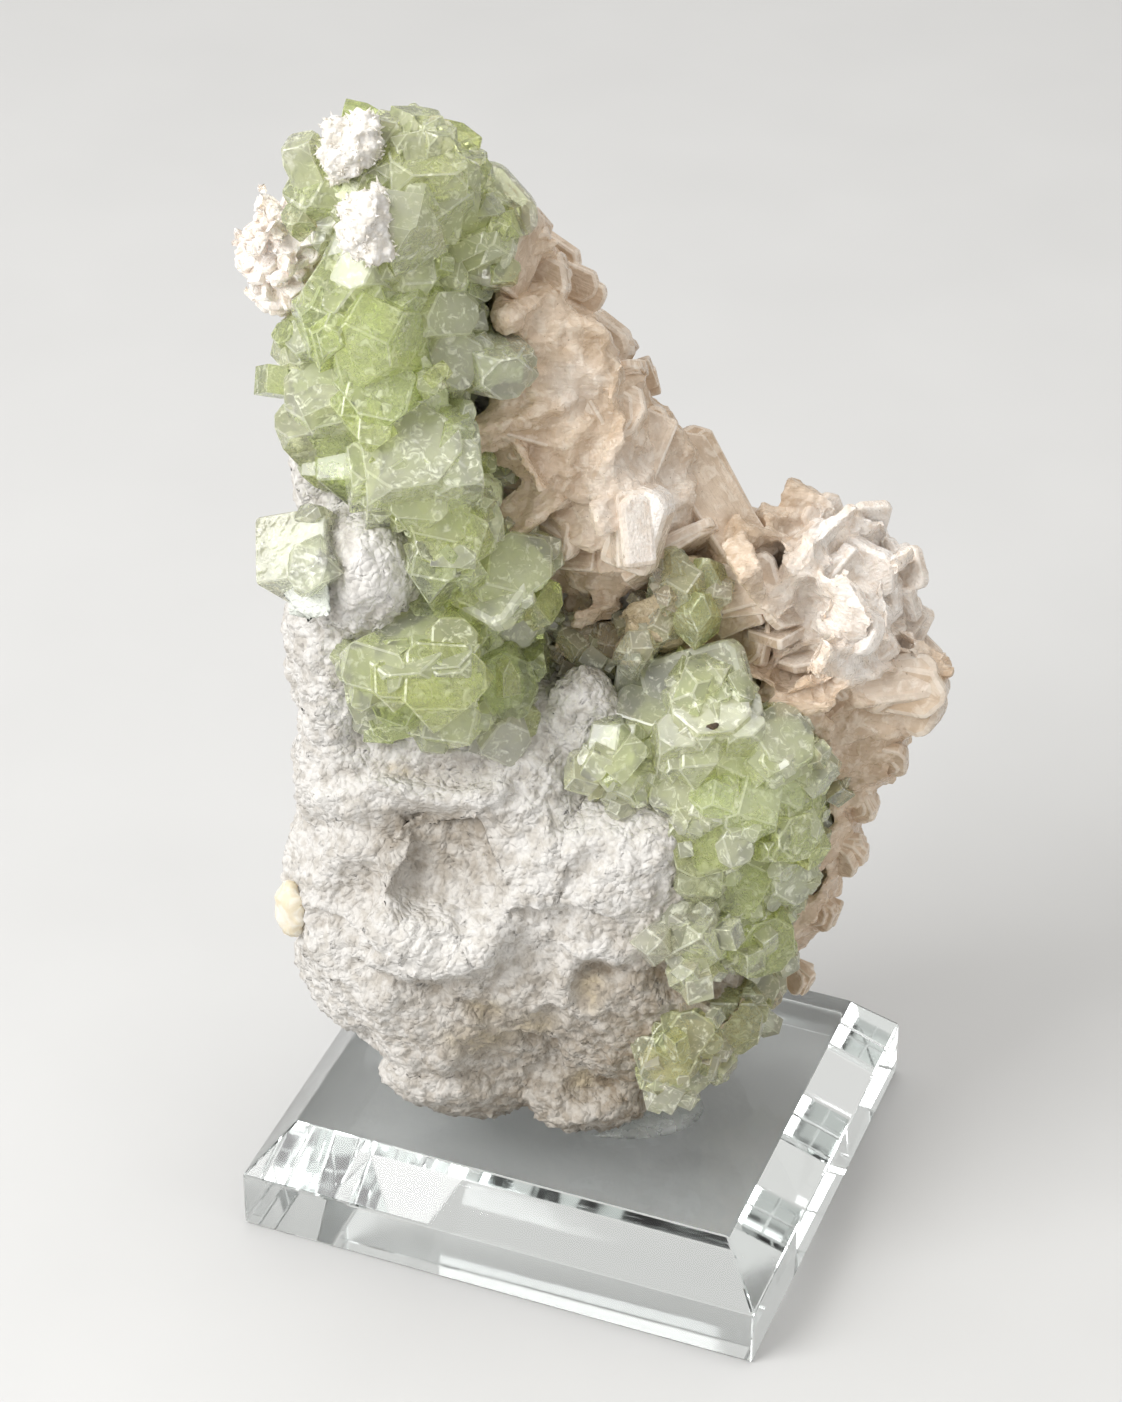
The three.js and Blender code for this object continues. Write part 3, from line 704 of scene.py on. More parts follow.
def moved(made, place):
    bmesh.ops.transform(made, matrix=place, verts=made.verts)
    return made


def add_lumps(made, ground, lumps):
    """Adds balls whose middles lie on the surface, each a pixel and a radius."""
    for u, v, radius in lumps:
        place = Matrix.Translation(ground.seen_at(u, v))
        bmesh.ops.create_icosphere(made, subdivisions=2, radius=radius, matrix=place)


def smooth_shaded(made):
    for face in made.faces:
        face.smooth = True


def add_mesh(made, other, slot=0, smooth=False):
    """Adds the faces of another bmesh, which is used up."""
    for face in other.faces:
        face.material_index = slot
        face.smooth = smooth
    mesh = mesh_of(other)
    made.from_mesh(mesh)
    bpy.data.meshes.remove(mesh)


# Apophyllite

def tinted(made, tint, chance):
    """Marks a crystal's faces with its tint, and each face with a random paleness that is partly milkiness
    and partly painted sheen, so that neighbouring facets differ as reflections make them.
    """
    deep, warm = TINTS[tint]
    deep += chance.uniform(-0.08, 0.08)
    warm += chance.uniform(-0.1, 0.1)
    for name, value in (("deep", deep), ("warm", warm)):
        layer = made.faces.layers.float.new(name)
        for face in made.faces:
            face[layer] = value
    facet_milk_and_sheen = made.faces.layers.float.new("facet_milk_and_sheen")
    for face in made.faces:
        face[facet_milk_and_sheen] = chance.random()
    return made


def placed_crystal(head, axis, turn, width, flat, length, top, tint, chance):
    wear = min(EDGE_WEAR, width * EDGE_WEAR_SHARE)
    made = crystal(width, width * flat, length, top * TOP_TRIM, wear, chance)
    return tinted(moved(made, standing(head, axis, turn)), tint, chance)


def paddles(name, ground, chance):
    for one in named(PADDLE_FIELDS, PADDLES.get(name, [])):
        made = blade(one["width"], one["length"], one["thick"], PADDLE_BLUNT, 0, PADDLE_WEAR)
        place = lying(ground.seen_at(one["u"], one["v"]), one["toward"], one["slant"], one["roll"])
        yield tinted(moved(made, place), one["tint"], chance)


def kept_clear(point):
    """Whether a point shows in a part of the picture in which no smaller crystals grow."""
    u, v = pixel_of(point)
    return any(off_middle(u, v, *oval) < 1 for oval in KEPT_CLEAR)


def photographed_crystals(ground, table, chance):
    for one in named(CRYSTAL_FIELDS, table):
        axis = heading(one["lean"], one["tilt"])
        head = ground.seen_at(one["u"], one["v"]) + BACK * one["out"]
        size = (one["width"], one["flat"], one["length"], one["top"])
        yield placed_crystal(head, axis, one["turn"], *size, one["tint"], chance)
        # Smaller crystals grow beside it, parallel to it and a step lower.
        across = standing(Vector(), axis, one["turn"])
        for _ in range(NEIGHBOURS):
            share = chance.uniform(*NEIGHBOUR_SHARE)
            offset = Vector((
                chance.choice((-0.42, 0.42)) * one["width"],
                chance.uniform(-0.4, 0.4) * one["width"] * one["flat"],
                -chance.uniform(*NEIGHBOUR_STEP),
            ))
            beside = head + across @ offset
            if kept_clear(beside):
                continue
            small = (one["width"] * share, one["flat"], one["length"] * NEIGHBOUR_LENGTH, one["top"])
            yield placed_crystal(beside, axis, one["turn"], *small, one["tint"], chance)


def scattered_crystals(ground, count, widths, tints, chance):
    for spot, normal in ground.spots(count, chance):
        if kept_clear(spot):
            continue
        axis = (normal + stray(0.25, chance)).normalized()
        width = chance.uniform(*widths)
        head = spot + normal * chance.uniform(-0.4, 0.5)
        shape = (width, chance.uniform(0.7, 1), width * SMALL_LENGTH, chance.uniform(0.3, 0.8))
        yield placed_crystal(head, axis, chance.uniform(0, 90), *shape, chance.choice(tints), chance)


def dark_grain(made):
    """A crumb of dark rock that lies on the crystals."""
    hit = BVHTree.FromBMesh(made).ray_cast(EYE, sight_line(*GRAIN_PIXEL))[0]
    crumb = bmesh.new()
    place = standing(hit, heading(80, 20), 0) @ Matrix.Diagonal((*GRAIN_HALF, 1))
    bmesh.ops.create_icosphere(crumb, subdivisions=3, radius=1, matrix=place)
    displaced(crumb, lambda at, normal: 0.3 * noise.noise(at / 0.5))
    return crumb


def apophyllite(name, table, count, widths, tints, heart_name, heart_depth):
    """Crystals grown together over a milky heart that fills the space of the CAD node."""
    chance = random.Random(SEED + count)
    ground = Ground(name)
    parts = [*photographed_crystals(ground, table, chance), *paddles(name, ground, chance)]
    parts += scattered_crystals(ground, count, widths, tints, chance)
    made = grown_together(parts)
    heart = remeshed(merged_copy(name), HEART_VOXEL, 3)
    displaced(heart, lambda at, normal: 1.5 * noise.noise(at / 4) + 0.5 * noise.noise(at / 1.3) - heart_depth)
    add_mesh(made, heart, slot=1, smooth=True)
    if name == GRAIN_NODE:
        add_mesh(made, dark_grain(made), slot=2)
    new = piece(made, name + "_crystals", APOPHYLLITE_FINISH, HEART_FINISHES[heart_name], GRAIN_FINISH)
    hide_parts(name)
    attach(new, "root")


# Stilbite

def sheaf(place, width, length, thick, leaves, spread, chance):
    """Leaves side by side that open like the pages of a book from their feet."""
    for i in range(leaves):
        share = i - (leaves - 1) / 2
        long = length * chance.uniform(0.88, 1)
        wide = width * chance.uniform(0.8, 1)
        blunt = chance.uniform(0.1, 0.45)
        page = blade(wide, long, thick * LEAF_THICK, blunt, chance.uniform(0, 90), thick * LEAF_WEAR)
        turns = Matrix.Rotation(radians(spread * share / max(leaves - 1, 1)), 4, "X")
        turns @= Matrix.Rotation(radians(chance.uniform(-5, 5)), 4, "Y")
        foot = Matrix.Translation((0, share * thick * LEAF_STEP, -length))
        yield moved(page, place @ foot @ turns @ Matrix.Translation((0, 0, long)))


def photographed_slabs(ground, table, chance):
    for one in named(SLAB_FIELDS, table):
        place = lying(ground.seen_at(one["u"], one["v"]), one["toward"], one["slant"], one["roll"])
        shape = (one["width"], one["length"], one["thick"], one["leaves"], one["spread"])
        yield from sheaf(place, *shape, chance)


def ball_of_blades(ground, one, chance):
    """Blades that point away from one middle, out to the surface of the CAD node."""
    middle = ground.seen_at(one["u"], one["v"]) - BACK * one["radius"]
    for i in range(one["blades"]):
        rise = BALL_RISE - BALL_FALL * (i + 0.5) / one["blades"]
        round_it = RIGHT * math.cos(SPIRAL_TURN * i) + UP * math.sin(SPIRAL_TURN * i)
        axis = (BACK * rise + round_it * math.sqrt(1 - rise * rise)).normalized()
        hit, _, _, reach = ground.tree.ray_cast(middle, axis)
        if not hit or reach > one["radius"] * BALL_REACH:
            continue
        place = standing(hit + axis * chance.uniform(-0.4, 1.6), axis, chance.gauss(0, 28), BACK)
        yield from sheaf(place, one["width"] * chance.uniform(0.6, 1), reach, one["thick"], 1, 0, chance)


def in_ball(at, balls):
    """How near a point shows to the middle of a ball of blades, 1 within it."""
    u, v = pixel_of(at)
    near = [
        smooth(1.6 - math.hypot(u - middle_u, v - middle_v) / (radius * BALL_PIXELS_PER_MM))
        for middle_u, middle_v, radius, *_ in balls
    ]
    return max(near, default=0)


def loose_blades(ground, count, grain, sizes, chance):
    """Broad blades that lie on the surface, along one of two directions in the picture."""
    for spot, normal in ground.spots(count, chance):
        way = radians(chance.choice(grain) + chance.gauss(0, 12))
        axis = RIGHT * math.cos(way) + UP * math.sin(way)
        axis = (axis - normal * axis.dot(normal)).normalized()
        axis = (axis + normal * chance.uniform(0.05, 0.3)).normalized()
        size = chance.uniform(*sizes)
        place = standing(spot + normal * chance.uniform(-0.3, 0.7), axis, chance.gauss(0, 20), normal)
        yield from sheaf(place, size, size * 1.5, size * 0.2, chance.choice((1, 2, 3)), 10, chance)


def frosted(made):
    """Marks how frosty each face is, by the places in the photograph."""
    layer = made.faces.layers.float.new("frost")
    for face in made.faces:
        u, v = pixel_of(face.calc_center_median())
        for middle_u, middle_v, radius, strength in FROST_SPOTS:
            near = smooth(1.5 - math.hypot(u - middle_u, v - middle_v) / radius)
            face[layer] = max(face[layer], near * strength)


def stilbite(name, slabs, balls, lumps, count, sizes, voxel):
    """Blades grown together over a mass of the same mineral."""
    chance = random.Random(SEED + count)
    ground = Ground(name)
    mass = merged_copy(name)
    add_lumps(mass, ground, lumps)
    mass = remeshed(mass, MASS_VOXEL, 2)
    displaced(mass, lambda at, normal: 0.6 * noise.noise(at / 3) + 0.3 * noise.noise(at / 1.3) - 0.5)
    body = grown_together([mass, *loose_blades(ground, count, LOOSE_WAYS, sizes, chance)])
    body = remeshed(body, voxel, 1)

    def relief(at, normal):
        rough = 0.5 * noise.noise(at / 2.4) + 0.35 * noise.noise(at / 1.1)
        return rough - 0.2 - BALL_SINK * in_ball(at, balls)

    displaced(body, relief)
    unroll(body, lambda at: (at.dot(UP) + 2 * noise.noise(at / 9), at.dot(RIGHT)))
    parts = [body, *photographed_slabs(ground, slabs, chance)]
    for ball in named(BALL_FIELDS, balls):
        parts += ball_of_blades(ground, ball, chance)
    made = grown_together(parts)
    frosted(made)
    new = piece(made, name + "_blades", STILBITE_FINISH)
    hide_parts(name)
    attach(new, "root")


# Matrix, tufts, bud, gel and block

def pressed_forms(at, normal):
    """How far the photographed forms raise the crust where it faces the eye."""
    facing = smooth((normal.dot(BACK) + 0.1) / 0.5)
    if facing == 0:
        return 0
    u, v = pixel_of(at)
    u += 14 * noise.noise(at / 6)
    v += 14 * noise.noise(at / 6 + Vector((50, 0, 0)))
    raised = 0
    for middle_u, middle_v, half_u, half_v, turn, depth in CRUST_FORMS:
        c = math.cos(radians(turn))
        s = math.sin(radians(turn))
        across = ((u - middle_u) * c + (v - middle_v) * s) / half_u
        down = ((v - middle_v) * c - (u - middle_u) * s) / half_v
        raised -= depth * smooth((1.2 - math.hypot(across, down)) / 0.9)
    return raised * facing


def crust_relief(at, normal):
    """Swellings, knobs and fingerlike crinkles of the white crust."""
    swell = 1.4 * noise.noise(at / 11)
    knob = 0.6 * noise.noise(at / 3.6 + Vector((7, 0, 0)))
    bend = Vector([noise.noise(at / 5 + Vector((k, 0, 0))) for k in (3, 30, 60)])
    folded = at + bend * 2.5
    finger = abs(noise.noise(Vector((folded.x / 1.5, folded.y / 1.5, folded.z / 2.6)))) * 1.3
    bead = abs(noise.noise(folded / 1.2 + Vector((0, 9, 0)))) * 0.9
    return pressed_forms(at, normal) + swell + knob + finger + bead - 0.7


def mark_painted_light_and_shade(made):
    """Marks the painted shade of the crust, darker and warmer in its hollows, low down and to the right, and
    below 0 on raised forms, where painted light whitens it.
    """
    layer = made.verts.layers.float.new("painted_light_and_shade")
    brown = made.verts.layers.float.new("brown")
    for vertex in made.verts:
        u, v = pixel_of(vertex.co)
        low = smooth((v - 900) / 160) * smooth((u - 330) / 170)
        right = smooth((u - 560) / 120) * smooth((v - 820) / 160)
        raised = pressed_forms(vertex.co, vertex.normal)
        hollow = max(0, -raised) / 8
        # Painted shade low down, to the right and in hollows; painted light on raised forms.
        vertex[layer] = min(1, low * 0.65 + right * 0.45 + hollow) - smooth(raised / 3 - 0.4)
        for oval in BROWN_SPOTS:
            vertex[brown] = max(vertex[brown], smooth(1.4 - off_middle(u, v, *oval)))


def matrix_piece():
    made = remeshed(merged_copy("matrix"), CRUST_VOXEL, 2)
    made.normal_update()
    # Painted light and shade of the crust, by where it shows in the picture.
    mark_painted_light_and_shade(made)
    floor = min(v.co.z for v in made.verts)
    displaced(made, crust_relief)
    for vertex in made.verts:
        vertex.co.z = max(vertex.co.z, floor)
    smooth_shaded(made)
    new = piece(made, "matrix_crust", MATRIX_FINISH)
    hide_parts("matrix")
    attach(new, "root")


def tuft(name, needles):
    """A lump bristling with short needles, spread over the crystals beside it."""
    chance = random.Random(SEED + needles)
    crystals = Ground(name, "apophyllite_column")
    lump = merged_copy(name)
    add_lumps(lump, crystals, TUFT_LUMPS[name])
    made = remeshed(lump, TUFT_VOXEL, 2)
    displaced(made, lambda at, normal: 0.1 + 1.1 * noise.noise(at / 1.6) + 0.6 * noise.noise(at / 0.8))
    smooth_shaded(made)
    spots = [(v.co.copy(), v.normal.copy()) for v in chance.sample(made.verts[:], needles)]
    for spot, normal in spots:
        axis = (normal + stray(0.5, chance)).normalized()
        spike = bmesh.new()
        bmesh.ops.create_cone(
            spike, cap_ends=True, segments=4, radius1=chance.uniform(*NEEDLE_FOOT),
            radius2=NEEDLE_TIP, depth=chance.uniform(*NEEDLE_LENGTH),
        )
        add_mesh(made, moved(spike, standing(spot + normal * 0.3, axis, chance.uniform(0, 90))))
    new = piece(made, name + "_needles", TUFT_FINISH)
    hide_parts(name)
    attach(new, "root")


def cream_bud():
    made = remeshed(merged_copy("cream_bud"), BUD_VOXEL, 3)
    displaced(made, lambda at, normal: 0.9 + 0.5 * noise.noise(at / 2) + 0.3 * noise.noise(at / 0.7))
    smooth_shaded(made)
    new = piece(made, "cream_bud_nodule", CREAM_FINISH)
    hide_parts("cream_bud")
    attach(new, "root")


def mounting_gel():
    made = remeshed(merged_copy("mounting_gel"), GEL_VOXEL, 4)
    smooth_shaded(made)
    new = piece(made, "gel_pad", GEL_FINISH)
    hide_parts("mounting_gel")
    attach(new, "root")


def acrylic_block():
    made = merged_copy("acrylic_base")
    bmesh.ops.dissolve_limit(
        made, angle_limit=radians(1), verts=made.verts, edges=made.edges, use_dissolve_boundaries=False
    )
    rounded(made, BLOCK_EDGE, segments=2)
    new = piece(made, "acrylic_block", ACRYLIC_FINISH)
    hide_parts("acrylic_base")
    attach(new, "root")


# Finishes

class Link:
    """An output socket that takes part in arithmetic by adding Math nodes."""

    def __init__(self, nodes, socket):
        self.nodes = nodes
        self.socket = socket

    def math(self, operation, a, b=0.0, clamp=False):
        settings = {"operation": operation, "use_clamp": clamp}
        return self.nodes.node("ShaderNodeMath", settings, {0: a, 1: b})

    def __add__(self, other):
        return self.math("ADD", self, other)

    def __sub__(self, other):
        return self.math("SUBTRACT", self, other)

    def __rsub__(self, other):
        return self.math("SUBTRACT", other, self)

    def __mul__(self, other):
        return self.math("MULTIPLY", self, other)

    __radd__ = __add__
    __rmul__ = __mul__

    def clamped(self):
        return self.math("ADD", self, 0.0, clamp=True)


class Nodes:
    """The nodes of a material or of the surround, added one by one."""

    def __init__(self, owner):
        owner.use_nodes = True
        self.tree = owner.node_tree
        self.tree.nodes.clear()

    def node(self, kind, settings=None, inputs=None, output=0):
        made = self.tree.nodes.new(kind)
        for name, value in (settings or {}).items():
            setattr(made, name, value)
        for name, value in (inputs or {}).items():
            if isinstance(value, Link):
                self.tree.links.new(value.socket, made.inputs[name])
            else:
                made.inputs[name].default_value = value
        return Link(self, made.outputs[output]) if made.outputs else None


class Finish(Nodes):
    """A material of one of the pieces."""

    def __init__(self, name):
        self.material = bpy.data.materials.new(name)
        super().__init__(self.material)
        self.place = self.node("ShaderNodeTexCoord", output="Object")

    def attribute(self, name):
        return self.node("ShaderNodeAttribute", {"attribute_name": name}, output="Fac")

    def noise(self, size_mm, detail=3, roughness=0.5, distortion=0.0, place=None, coloured=False):
        settings = {"Vector": place or self.place, "Scale": 1 / (size_mm * MM), "Detail": detail}
        settings |= {"Roughness": roughness, "Distortion": distortion}
        return self.node("ShaderNodeTexNoise", inputs=settings, output=int(coloured))

    def beads(self, size_mm, place=None):
        """1 in the middle of each of many cells, falling outwards."""
        settings = {"Vector": place or self.place, "Scale": 1 / (size_mm * MM)}
        return 1.0 - self.node("ShaderNodeTexVoronoi", inputs=settings)

    def stretched(self, turn, scale):
        return self.node("ShaderNodeMapping", inputs={"Vector": self.place, "Rotation": turn, "Scale": scale})

    def band(self, value, low, high):
        """0 where the value is at low, 1 where it is at high, smooth between."""
        settings = {"interpolation_type": "SMOOTHSTEP"}
        return self.node("ShaderNodeMapRange", settings, {0: value, 1: low, 2: high})

    def mixed(self, factor, a, b, blend="MIX"):
        """Two colours mixed, each a link or its red, green and blue."""
        settings = {"data_type": "RGBA", "blend_type": blend}
        a, b = (one if isinstance(one, Link) else (*one, 1) for one in (a, b))
        return self.node("ShaderNodeMix", settings, {0: factor, 6: a, 7: b}, output=2)

    def bumped(self, height, distance_mm, strength=1.0, under=None):
        inputs = {"Height": height, "Distance": distance_mm * MM, "Strength": strength}
        if under:
            inputs["Normal"] = under
        return self.node("ShaderNodeBump", inputs=inputs)

    def shader(self, **values):
        """A Principled shader: a socket's name is written with _ for each space."""
        return self.node(
            "ShaderNodeBsdfPrincipled",
            {"subsurface_method": "BURLEY"},
            {name.replace("_", " "): value for name, value in values.items()},
        )

    def blended(self, factor, first, second):
        return self.node("ShaderNodeMixShader", inputs={0: factor, 1: first, 2: second})

    def done(self, surface, absorption=None, density=0.0):
        """The material with its surface, and with the absorption of its inside where it has one."""
        ends = {"Surface": surface}
        if absorption:
            fog = {"Color": (*absorption, 1), "Density": density}
            ends["Volume"] = self.node("ShaderNodeVolumeAbsorption", inputs=fog)
        self.node("ShaderNodeOutputMaterial", inputs=ends)
        return self.material


def apophyllite_finish():
    """Glassy green crystal with white veils, white specks that are partly painted glints, and edges whitened
    by wear and painted highlight.
    """
    f = Finish("apophyllite_crystal")
    deep = f.attribute("deep")
    warm = f.attribute("warm")
    facet_milk_and_sheen = f.attribute("facet_milk_and_sheen")
    edge_wear_and_highlight = f.attribute("edge_wear_and_highlight")
    cloud = f.noise(6, detail=3, roughness=0.6)
    wisp = f.noise(1.5, detail=3, roughness=0.65, distortion=0.8)
    # White specks: partly dust of tiny crystals, partly painted glints.
    speck = f.noise(0.5, detail=1)
    # Paler faces, partly milky and partly a painted facet sheen.
    depth = (deep + (cloud - 0.5) * 1.1 - f.band(facet_milk_and_sheen, 0.5, 1.0) * 0.3).clamped()
    green = f.mixed(depth, (0.97, 0.985, 0.90), (0.70, 0.83, 0.38))
    gold = f.mixed(depth, (0.99, 0.97, 0.84), (0.79, 0.79, 0.38))
    body = f.mixed((warm + (cloud - 0.5) * 0.3).clamped(), green, gold)
    body = f.mixed((warm - 1).clamped() * 2.5, body, (0.82, 0.72, 0.56))
    facing = f.bumped(f.noise(2.4, detail=2, roughness=0.6), 0.34, 0.45)
    glass = f.shader(
        Base_Color=body,
        Roughness=0.015 + f.band(wisp, 0.5, 0.8) * 0.15 + facet_milk_and_sheen * 0.04,
        IOR=1.535,
        Transmission_Weight=0.82,
        Normal=facing,
    )
    milk = f.shader(
        Base_Color=f.mixed(depth * 0.6, (0.93, 0.94, 0.82), body),
        Roughness=0.08 + wisp * 0.2,
        Subsurface_Weight=0.6,
        Subsurface_Radius=(1.0, 1.0, 0.7),
        Subsurface_Scale=0.0012,
        Normal=facing,
    )
    veil = 0.06 + f.band(wisp, 0.5, 0.72) * (0.2 + facet_milk_and_sheen * 0.45)
    # White at edges whitened by wear and painted highlight, and at specks that are partly painted glints.
    white = (veil + edge_wear_and_highlight * 0.15 + f.band(speck, 0.78, 0.83) * 0.7).clamped()
    return f.done(f.blended(white, glass, milk), (0.94, 0.96, 0.46), 50)


def heart_finish(name, shade, middle, dust):
    """A clouded stone of three colours, as in the heart of the crystals and the dust between them."""
    f = Finish(name)
    cloud = f.noise(5, detail=4)
    grain = f.noise(0.7, detail=3)
    body = f.mixed(f.band(cloud, 0.35, 0.65), shade, middle)
    base = f.mixed(f.band(grain, 0.55, 0.8), body, dust)
    return f.done(f.shader(
        Base_Color=base,
        Roughness=0.45 + grain * 0.3,
        Normal=f.bumped(grain, 0.8, 1.0),
    ))


def stilbite_finish():
    """Peach blades, pearly and finely ribbed along their length, with clearer pale tips."""
    f = Finish("stilbite_blades")
    frost = f.attribute("frost")
    cloud = f.noise(7, detail=5, roughness=0.65)
    patch = f.noise(2.2, detail=4, roughness=0.6, distortion=0.6)
    grain = f.noise(0.5, detail=2)
    speck = f.noise(0.6, detail=1)
    pale = f.mixed(f.band(cloud, 0.35, 0.65), (0.50, 0.375, 0.26), (0.67, 0.54, 0.415))
    base = f.mixed(f.band(patch, 0.5, 0.65) * 0.5, pale, (0.80, 0.71, 0.60))
    base = f.mixed(f.attribute("edge_wear_and_highlight") * 0.3, base, (0.92, 0.87, 0.80))
    base = f.mixed(frost * (f.band(patch, 0.3, 0.55) * 0.5 + 0.5), base, (0.93, 0.89, 0.85))
    base = f.mixed(f.band(speck, 0.74, 0.78) * 0.6, base, (0.25, 0.18, 0.11))
    along = f.node("ShaderNodeUVMap", {"uv_map": "grain"})
    squeezed = f.node("ShaderNodeMapping", inputs={"Vector": along, "Scale": (2.2, 0.12, 1)})
    ribs = f.node("ShaderNodeTexNoise", inputs={"Vector": squeezed, "Scale": 1.0, "Detail": 3})
    return f.done(f.shader(
        Base_Color=base,
        Roughness=0.2 + f.band(patch, 0.4, 0.7) * 0.2 - frost * 0.08,
        IOR=1.5,
        Subsurface_Weight=0.4,
        Subsurface_Radius=(1.0, 0.8, 0.62),
        Subsurface_Scale=0.0014,
        Normal=f.bumped(grain * (frost + 0.25), 0.3, 1.0, under=f.bumped(ribs + patch, 0.3, 0.8)),
    ))


def matrix_finish():
    """White zeolite crust, with painted dark tan shade in its hollows, low down and to the right, and painted
    light on its raised forms.
    """
    f = Finish("zeolite_crust")
    cloud = f.noise(14, detail=4, roughness=0.6)
    mottle = f.noise(2.5, detail=4, roughness=0.6)
    bent = f.mixed(0.0012, f.place, f.noise(3, detail=2, coloured=True), "LINEAR_LIGHT")
    fine = f.noise(0.4, detail=2, roughness=0.7)
    painted_light_and_shade = f.attribute("painted_light_and_shade")
    brown = f.attribute("brown")
    white = f.mixed(f.band(mottle, 0.35, 0.6), (0.53, 0.50, 0.455), (0.69, 0.67, 0.64))
    white = f.mixed(f.band(cloud, 0.6, 0.8) * 0.4, white, (0.66, 0.60, 0.50))
    # Painted light: raised forms are whitened.
    white = f.mixed((painted_light_and_shade * -1.0).clamped() * 0.8, white, (0.84, 0.82, 0.785))
    # The dark tan of the painted shade, mixed in where the crust is painted darker.
    warm = f.mixed(f.band(mottle, 0.4, 0.65), (0.26, 0.205, 0.14), (0.43, 0.385, 0.32))
    base = f.mixed((painted_light_and_shade * (cloud * 0.8 + 0.6)).clamped(), white, warm)
    base = f.mixed(brown * f.band(mottle, 0.35, 0.6) * 0.6, base, (0.46, 0.37, 0.22))
    return f.done(f.shader(
        Base_Color=base,
        Roughness=0.75 + fine * 0.2,
        Normal=f.bumped(fine, 0.12, 0.8, under=f.bumped(f.beads(1.1, bent), 0.6, 0.9)),
    ))


def tuft_finish():
    f = Finish("white_needles")
    grain = f.noise(1.2, detail=3)
    base = f.mixed(f.band(grain, 0.35, 0.65), (0.82, 0.80, 0.77), (0.72, 0.68, 0.61))
    return f.done(f.shader(
        Base_Color=base,
        Roughness=0.45 + grain * 0.3,
        Subsurface_Weight=0.2,
        Subsurface_Radius=(1.0, 0.95, 0.85),
        Subsurface_Scale=0.001,
        Normal=f.bumped(grain, 0.2, 0.5, under=f.bumped(f.beads(0.8), 0.4, 0.8)),
    ))


def cream_finish():
    f = Finish("cream_nodule")
    cloud = f.noise(2.5, detail=4, distortion=1)
    base = f.mixed(f.band(cloud, 0.35, 0.65), (0.66, 0.58, 0.42), (0.74, 0.70, 0.61))
    return f.done(f.shader(
        Base_Color=base,
        Roughness=0.35 + cloud * 0.3,
        Subsurface_Weight=0.5,
        Subsurface_Radius=(1.0, 0.85, 0.6),
        Subsurface_Scale=0.002,
        Normal=f.bumped(cloud, 0.4, 0.5),
    ))


def gel_finish():
    f = Finish("clear_gel")
    cloud = f.noise(3, detail=3)
    return f.done(f.shader(
        Base_Color=f.mixed(cloud, (0.95, 0.97, 0.95), (0.85, 0.88, 0.86)),
        Roughness=0.12 + f.band(cloud, 0.4, 0.7) * 0.3,
        IOR=1.42,
        Transmission_Weight=0.85,
        Normal=f.bumped(cloud, 0.3, 0.4),
    ))


def acrylic_finish():
    """Clear polished acrylic with faint scuffs."""
    f = Finish("clear_acrylic")
    smear = f.noise(22, detail=3, place=f.stretched((0, 0, 0.5), (1, 0.2, 1)))
    scuff = f.noise(0.9, detail=2, place=f.stretched((0, 0, 0.9), (0.06, 1, 1)))
    surface = f.shader(
        Base_Color=f.mixed(smear, (0.97, 0.98, 0.98), (0.93, 0.95, 0.95)),
        Roughness=0.015 + f.band(scuff, 0.66, 0.8) * 0.12 + f.band(smear, 0.5, 0.8) * 0.03,
        IOR=1.49,
        Transmission_Weight=1.0,
        Normal=f.bumped(smear, 0.05, 0.2),
    )
    return f.done(surface, (0.9, 0.97, 0.95), 3)


APOPHYLLITE_FINISH = apophyllite_finish()
HEART_FINISHES = {
    "green": heart_finish("green_heart", (0.76, 0.82, 0.50), (0.86, 0.88, 0.70), (0.88, 0.89, 0.82)),
    "clear": heart_finish("clear_heart", (0.80, 0.84, 0.76), (0.88, 0.90, 0.84), (0.92, 0.93, 0.90)),
    "tan": heart_finish("drusy_tan", (0.52, 0.42, 0.27), (0.66, 0.55, 0.38), (0.80, 0.72, 0.58)),
}
GRAIN_FINISH = heart_finish("dark_grain", (0.05, 0.035, 0.02), (0.10, 0.06, 0.03), (0.2, 0.13, 0.07))
STILBITE_FINISH = stilbite_finish()
MATRIX_FINISH = matrix_finish()
TUFT_FINISH = tuft_finish()
CREAM_FINISH = cream_finish()
GEL_FINISH = gel_finish()
ACRYLIC_FINISH = acrylic_finish()


# Camera, lights and floor

def aimed(thing, at, target):
    thing.location = at * MM
    thing.rotation_euler = (target - at).to_track_quat("-Z", "Y").to_euler()
    bpy.context.scene.collection.objects.link(thing)


def camera():
    data = bpy.data.cameras.new("camera")
    data.sensor_width = SENSOR_MM
    data.lens = FOCAL_PIXELS / max(PICTURE) * SENSOR_MM
    data.clip_start = 0.01
    data.clip_end = 20
    eye = bpy.data.objects.new("camera", data)
    turned = Matrix((RIGHT, UP, BACK)).transposed().to_4x4()
    eye.matrix_world = Matrix.Translation(EYE * MM) @ turned
    bpy.context.scene.collection.objects.link(eye)
    bpy.context.scene.camera = eye


def softbox(name, right, up, back, size, power):
    data = bpy.data.lights.new(name, "AREA")
    data.shape = "RECTANGLE"
    data.size = size[0] * MM
    data.size_y = size[1] * MM
    data.energy = power
    level_back = Vector((BACK.x, BACK.y, 0)).normalized()
    at = SPECIMEN_MIDDLE + RIGHT * right + Vector((0, 0, up)) + level_back * back
    aimed(bpy.data.objects.new(name, data), at, SPECIMEN_MIDDLE)


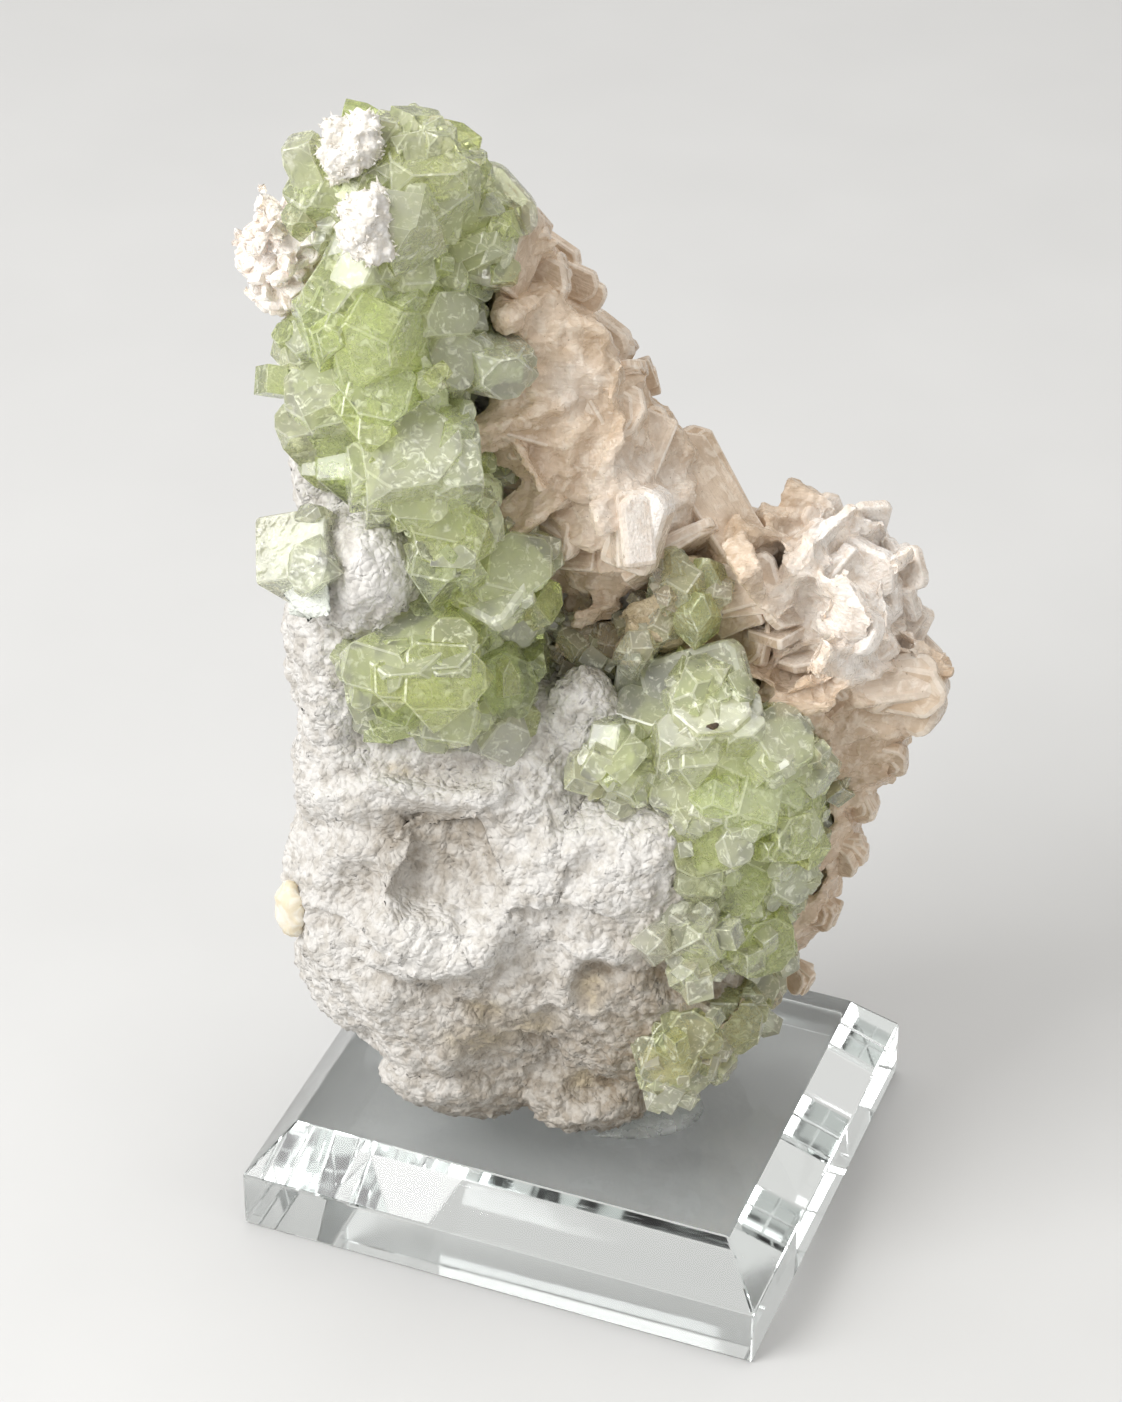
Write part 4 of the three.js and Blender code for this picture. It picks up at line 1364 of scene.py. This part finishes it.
def surround():
    """A pale sky that is brighter from the side of the key light."""
    world = bpy.data.worlds.new("studio")
    nodes = Nodes(world)
    direction = nodes.node("ShaderNodeTexCoord", output="Generated")
    key_way = (Vector((0, 0, 1)) - RIGHT * 0.8 + BACK * 0.3).normalized()
    toward_key = nodes.node(
        "ShaderNodeVectorMath", {"operation": "DOT_PRODUCT"}, {0: direction, 1: key_way}, output="Value"
    )
    reach = {"Value": toward_key, "From Min": -1, "To Min": SKY_DIM, "To Max": SKY_BRIGHT}
    strength = nodes.node("ShaderNodeMapRange", inputs=reach)
    sky = nodes.node("ShaderNodeBackground", inputs={"Color": (*SKY_COLOUR, 1), "Strength": strength})
    nodes.node("ShaderNodeOutputWorld", inputs={"Surface": sky})
    bpy.context.scene.world = world


def studio():
    surround()
    for name, row in SOFTBOXES.items():
        softbox(name, *row)
    scene = bpy.context.scene
    scene.view_settings.view_transform = "Standard"
    scene.cycles.max_bounces = BOUNCES
    scene.cycles.glossy_bounces = GLOSSY_BOUNCES
    scene.cycles.transmission_bounces = CLEAR_BOUNCES


def floor():
    f = Finish("pale_floor")
    grain = f.noise(40, detail=2)
    base = f.mixed(grain, (0.60, 0.60, 0.595), (0.64, 0.64, 0.635))
    finish = f.done(f.shader(Base_Color=base, Roughness=0.5 + grain * 0.1))
    made = bmesh.new()
    bmesh.ops.create_grid(made, x_segments=1, y_segments=1, size=FLOOR_HALF)
    bmesh.ops.translate(made, vec=(0, 0, -FLOOR_DROP), verts=made.verts)
    piece(made, "floor", finish)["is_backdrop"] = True


camera()
studio()
floor()
for node_name, settings_of_node in APOPHYLLITE.items():
    apophyllite(node_name, *settings_of_node)
for node_name, settings_of_node in STILBITE.items():
    stilbite(node_name, *settings_of_node)
matrix_piece()
for node_name, needle_count in TUFT_NEEDLES.items():
    tuft(node_name, needle_count)
cream_bud()
mounting_gel()
acrylic_block()

boxes = {"cad": cad_box, "visual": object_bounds()}
{name: [list(corner) for corner in box] for name, box in boxes.items()}
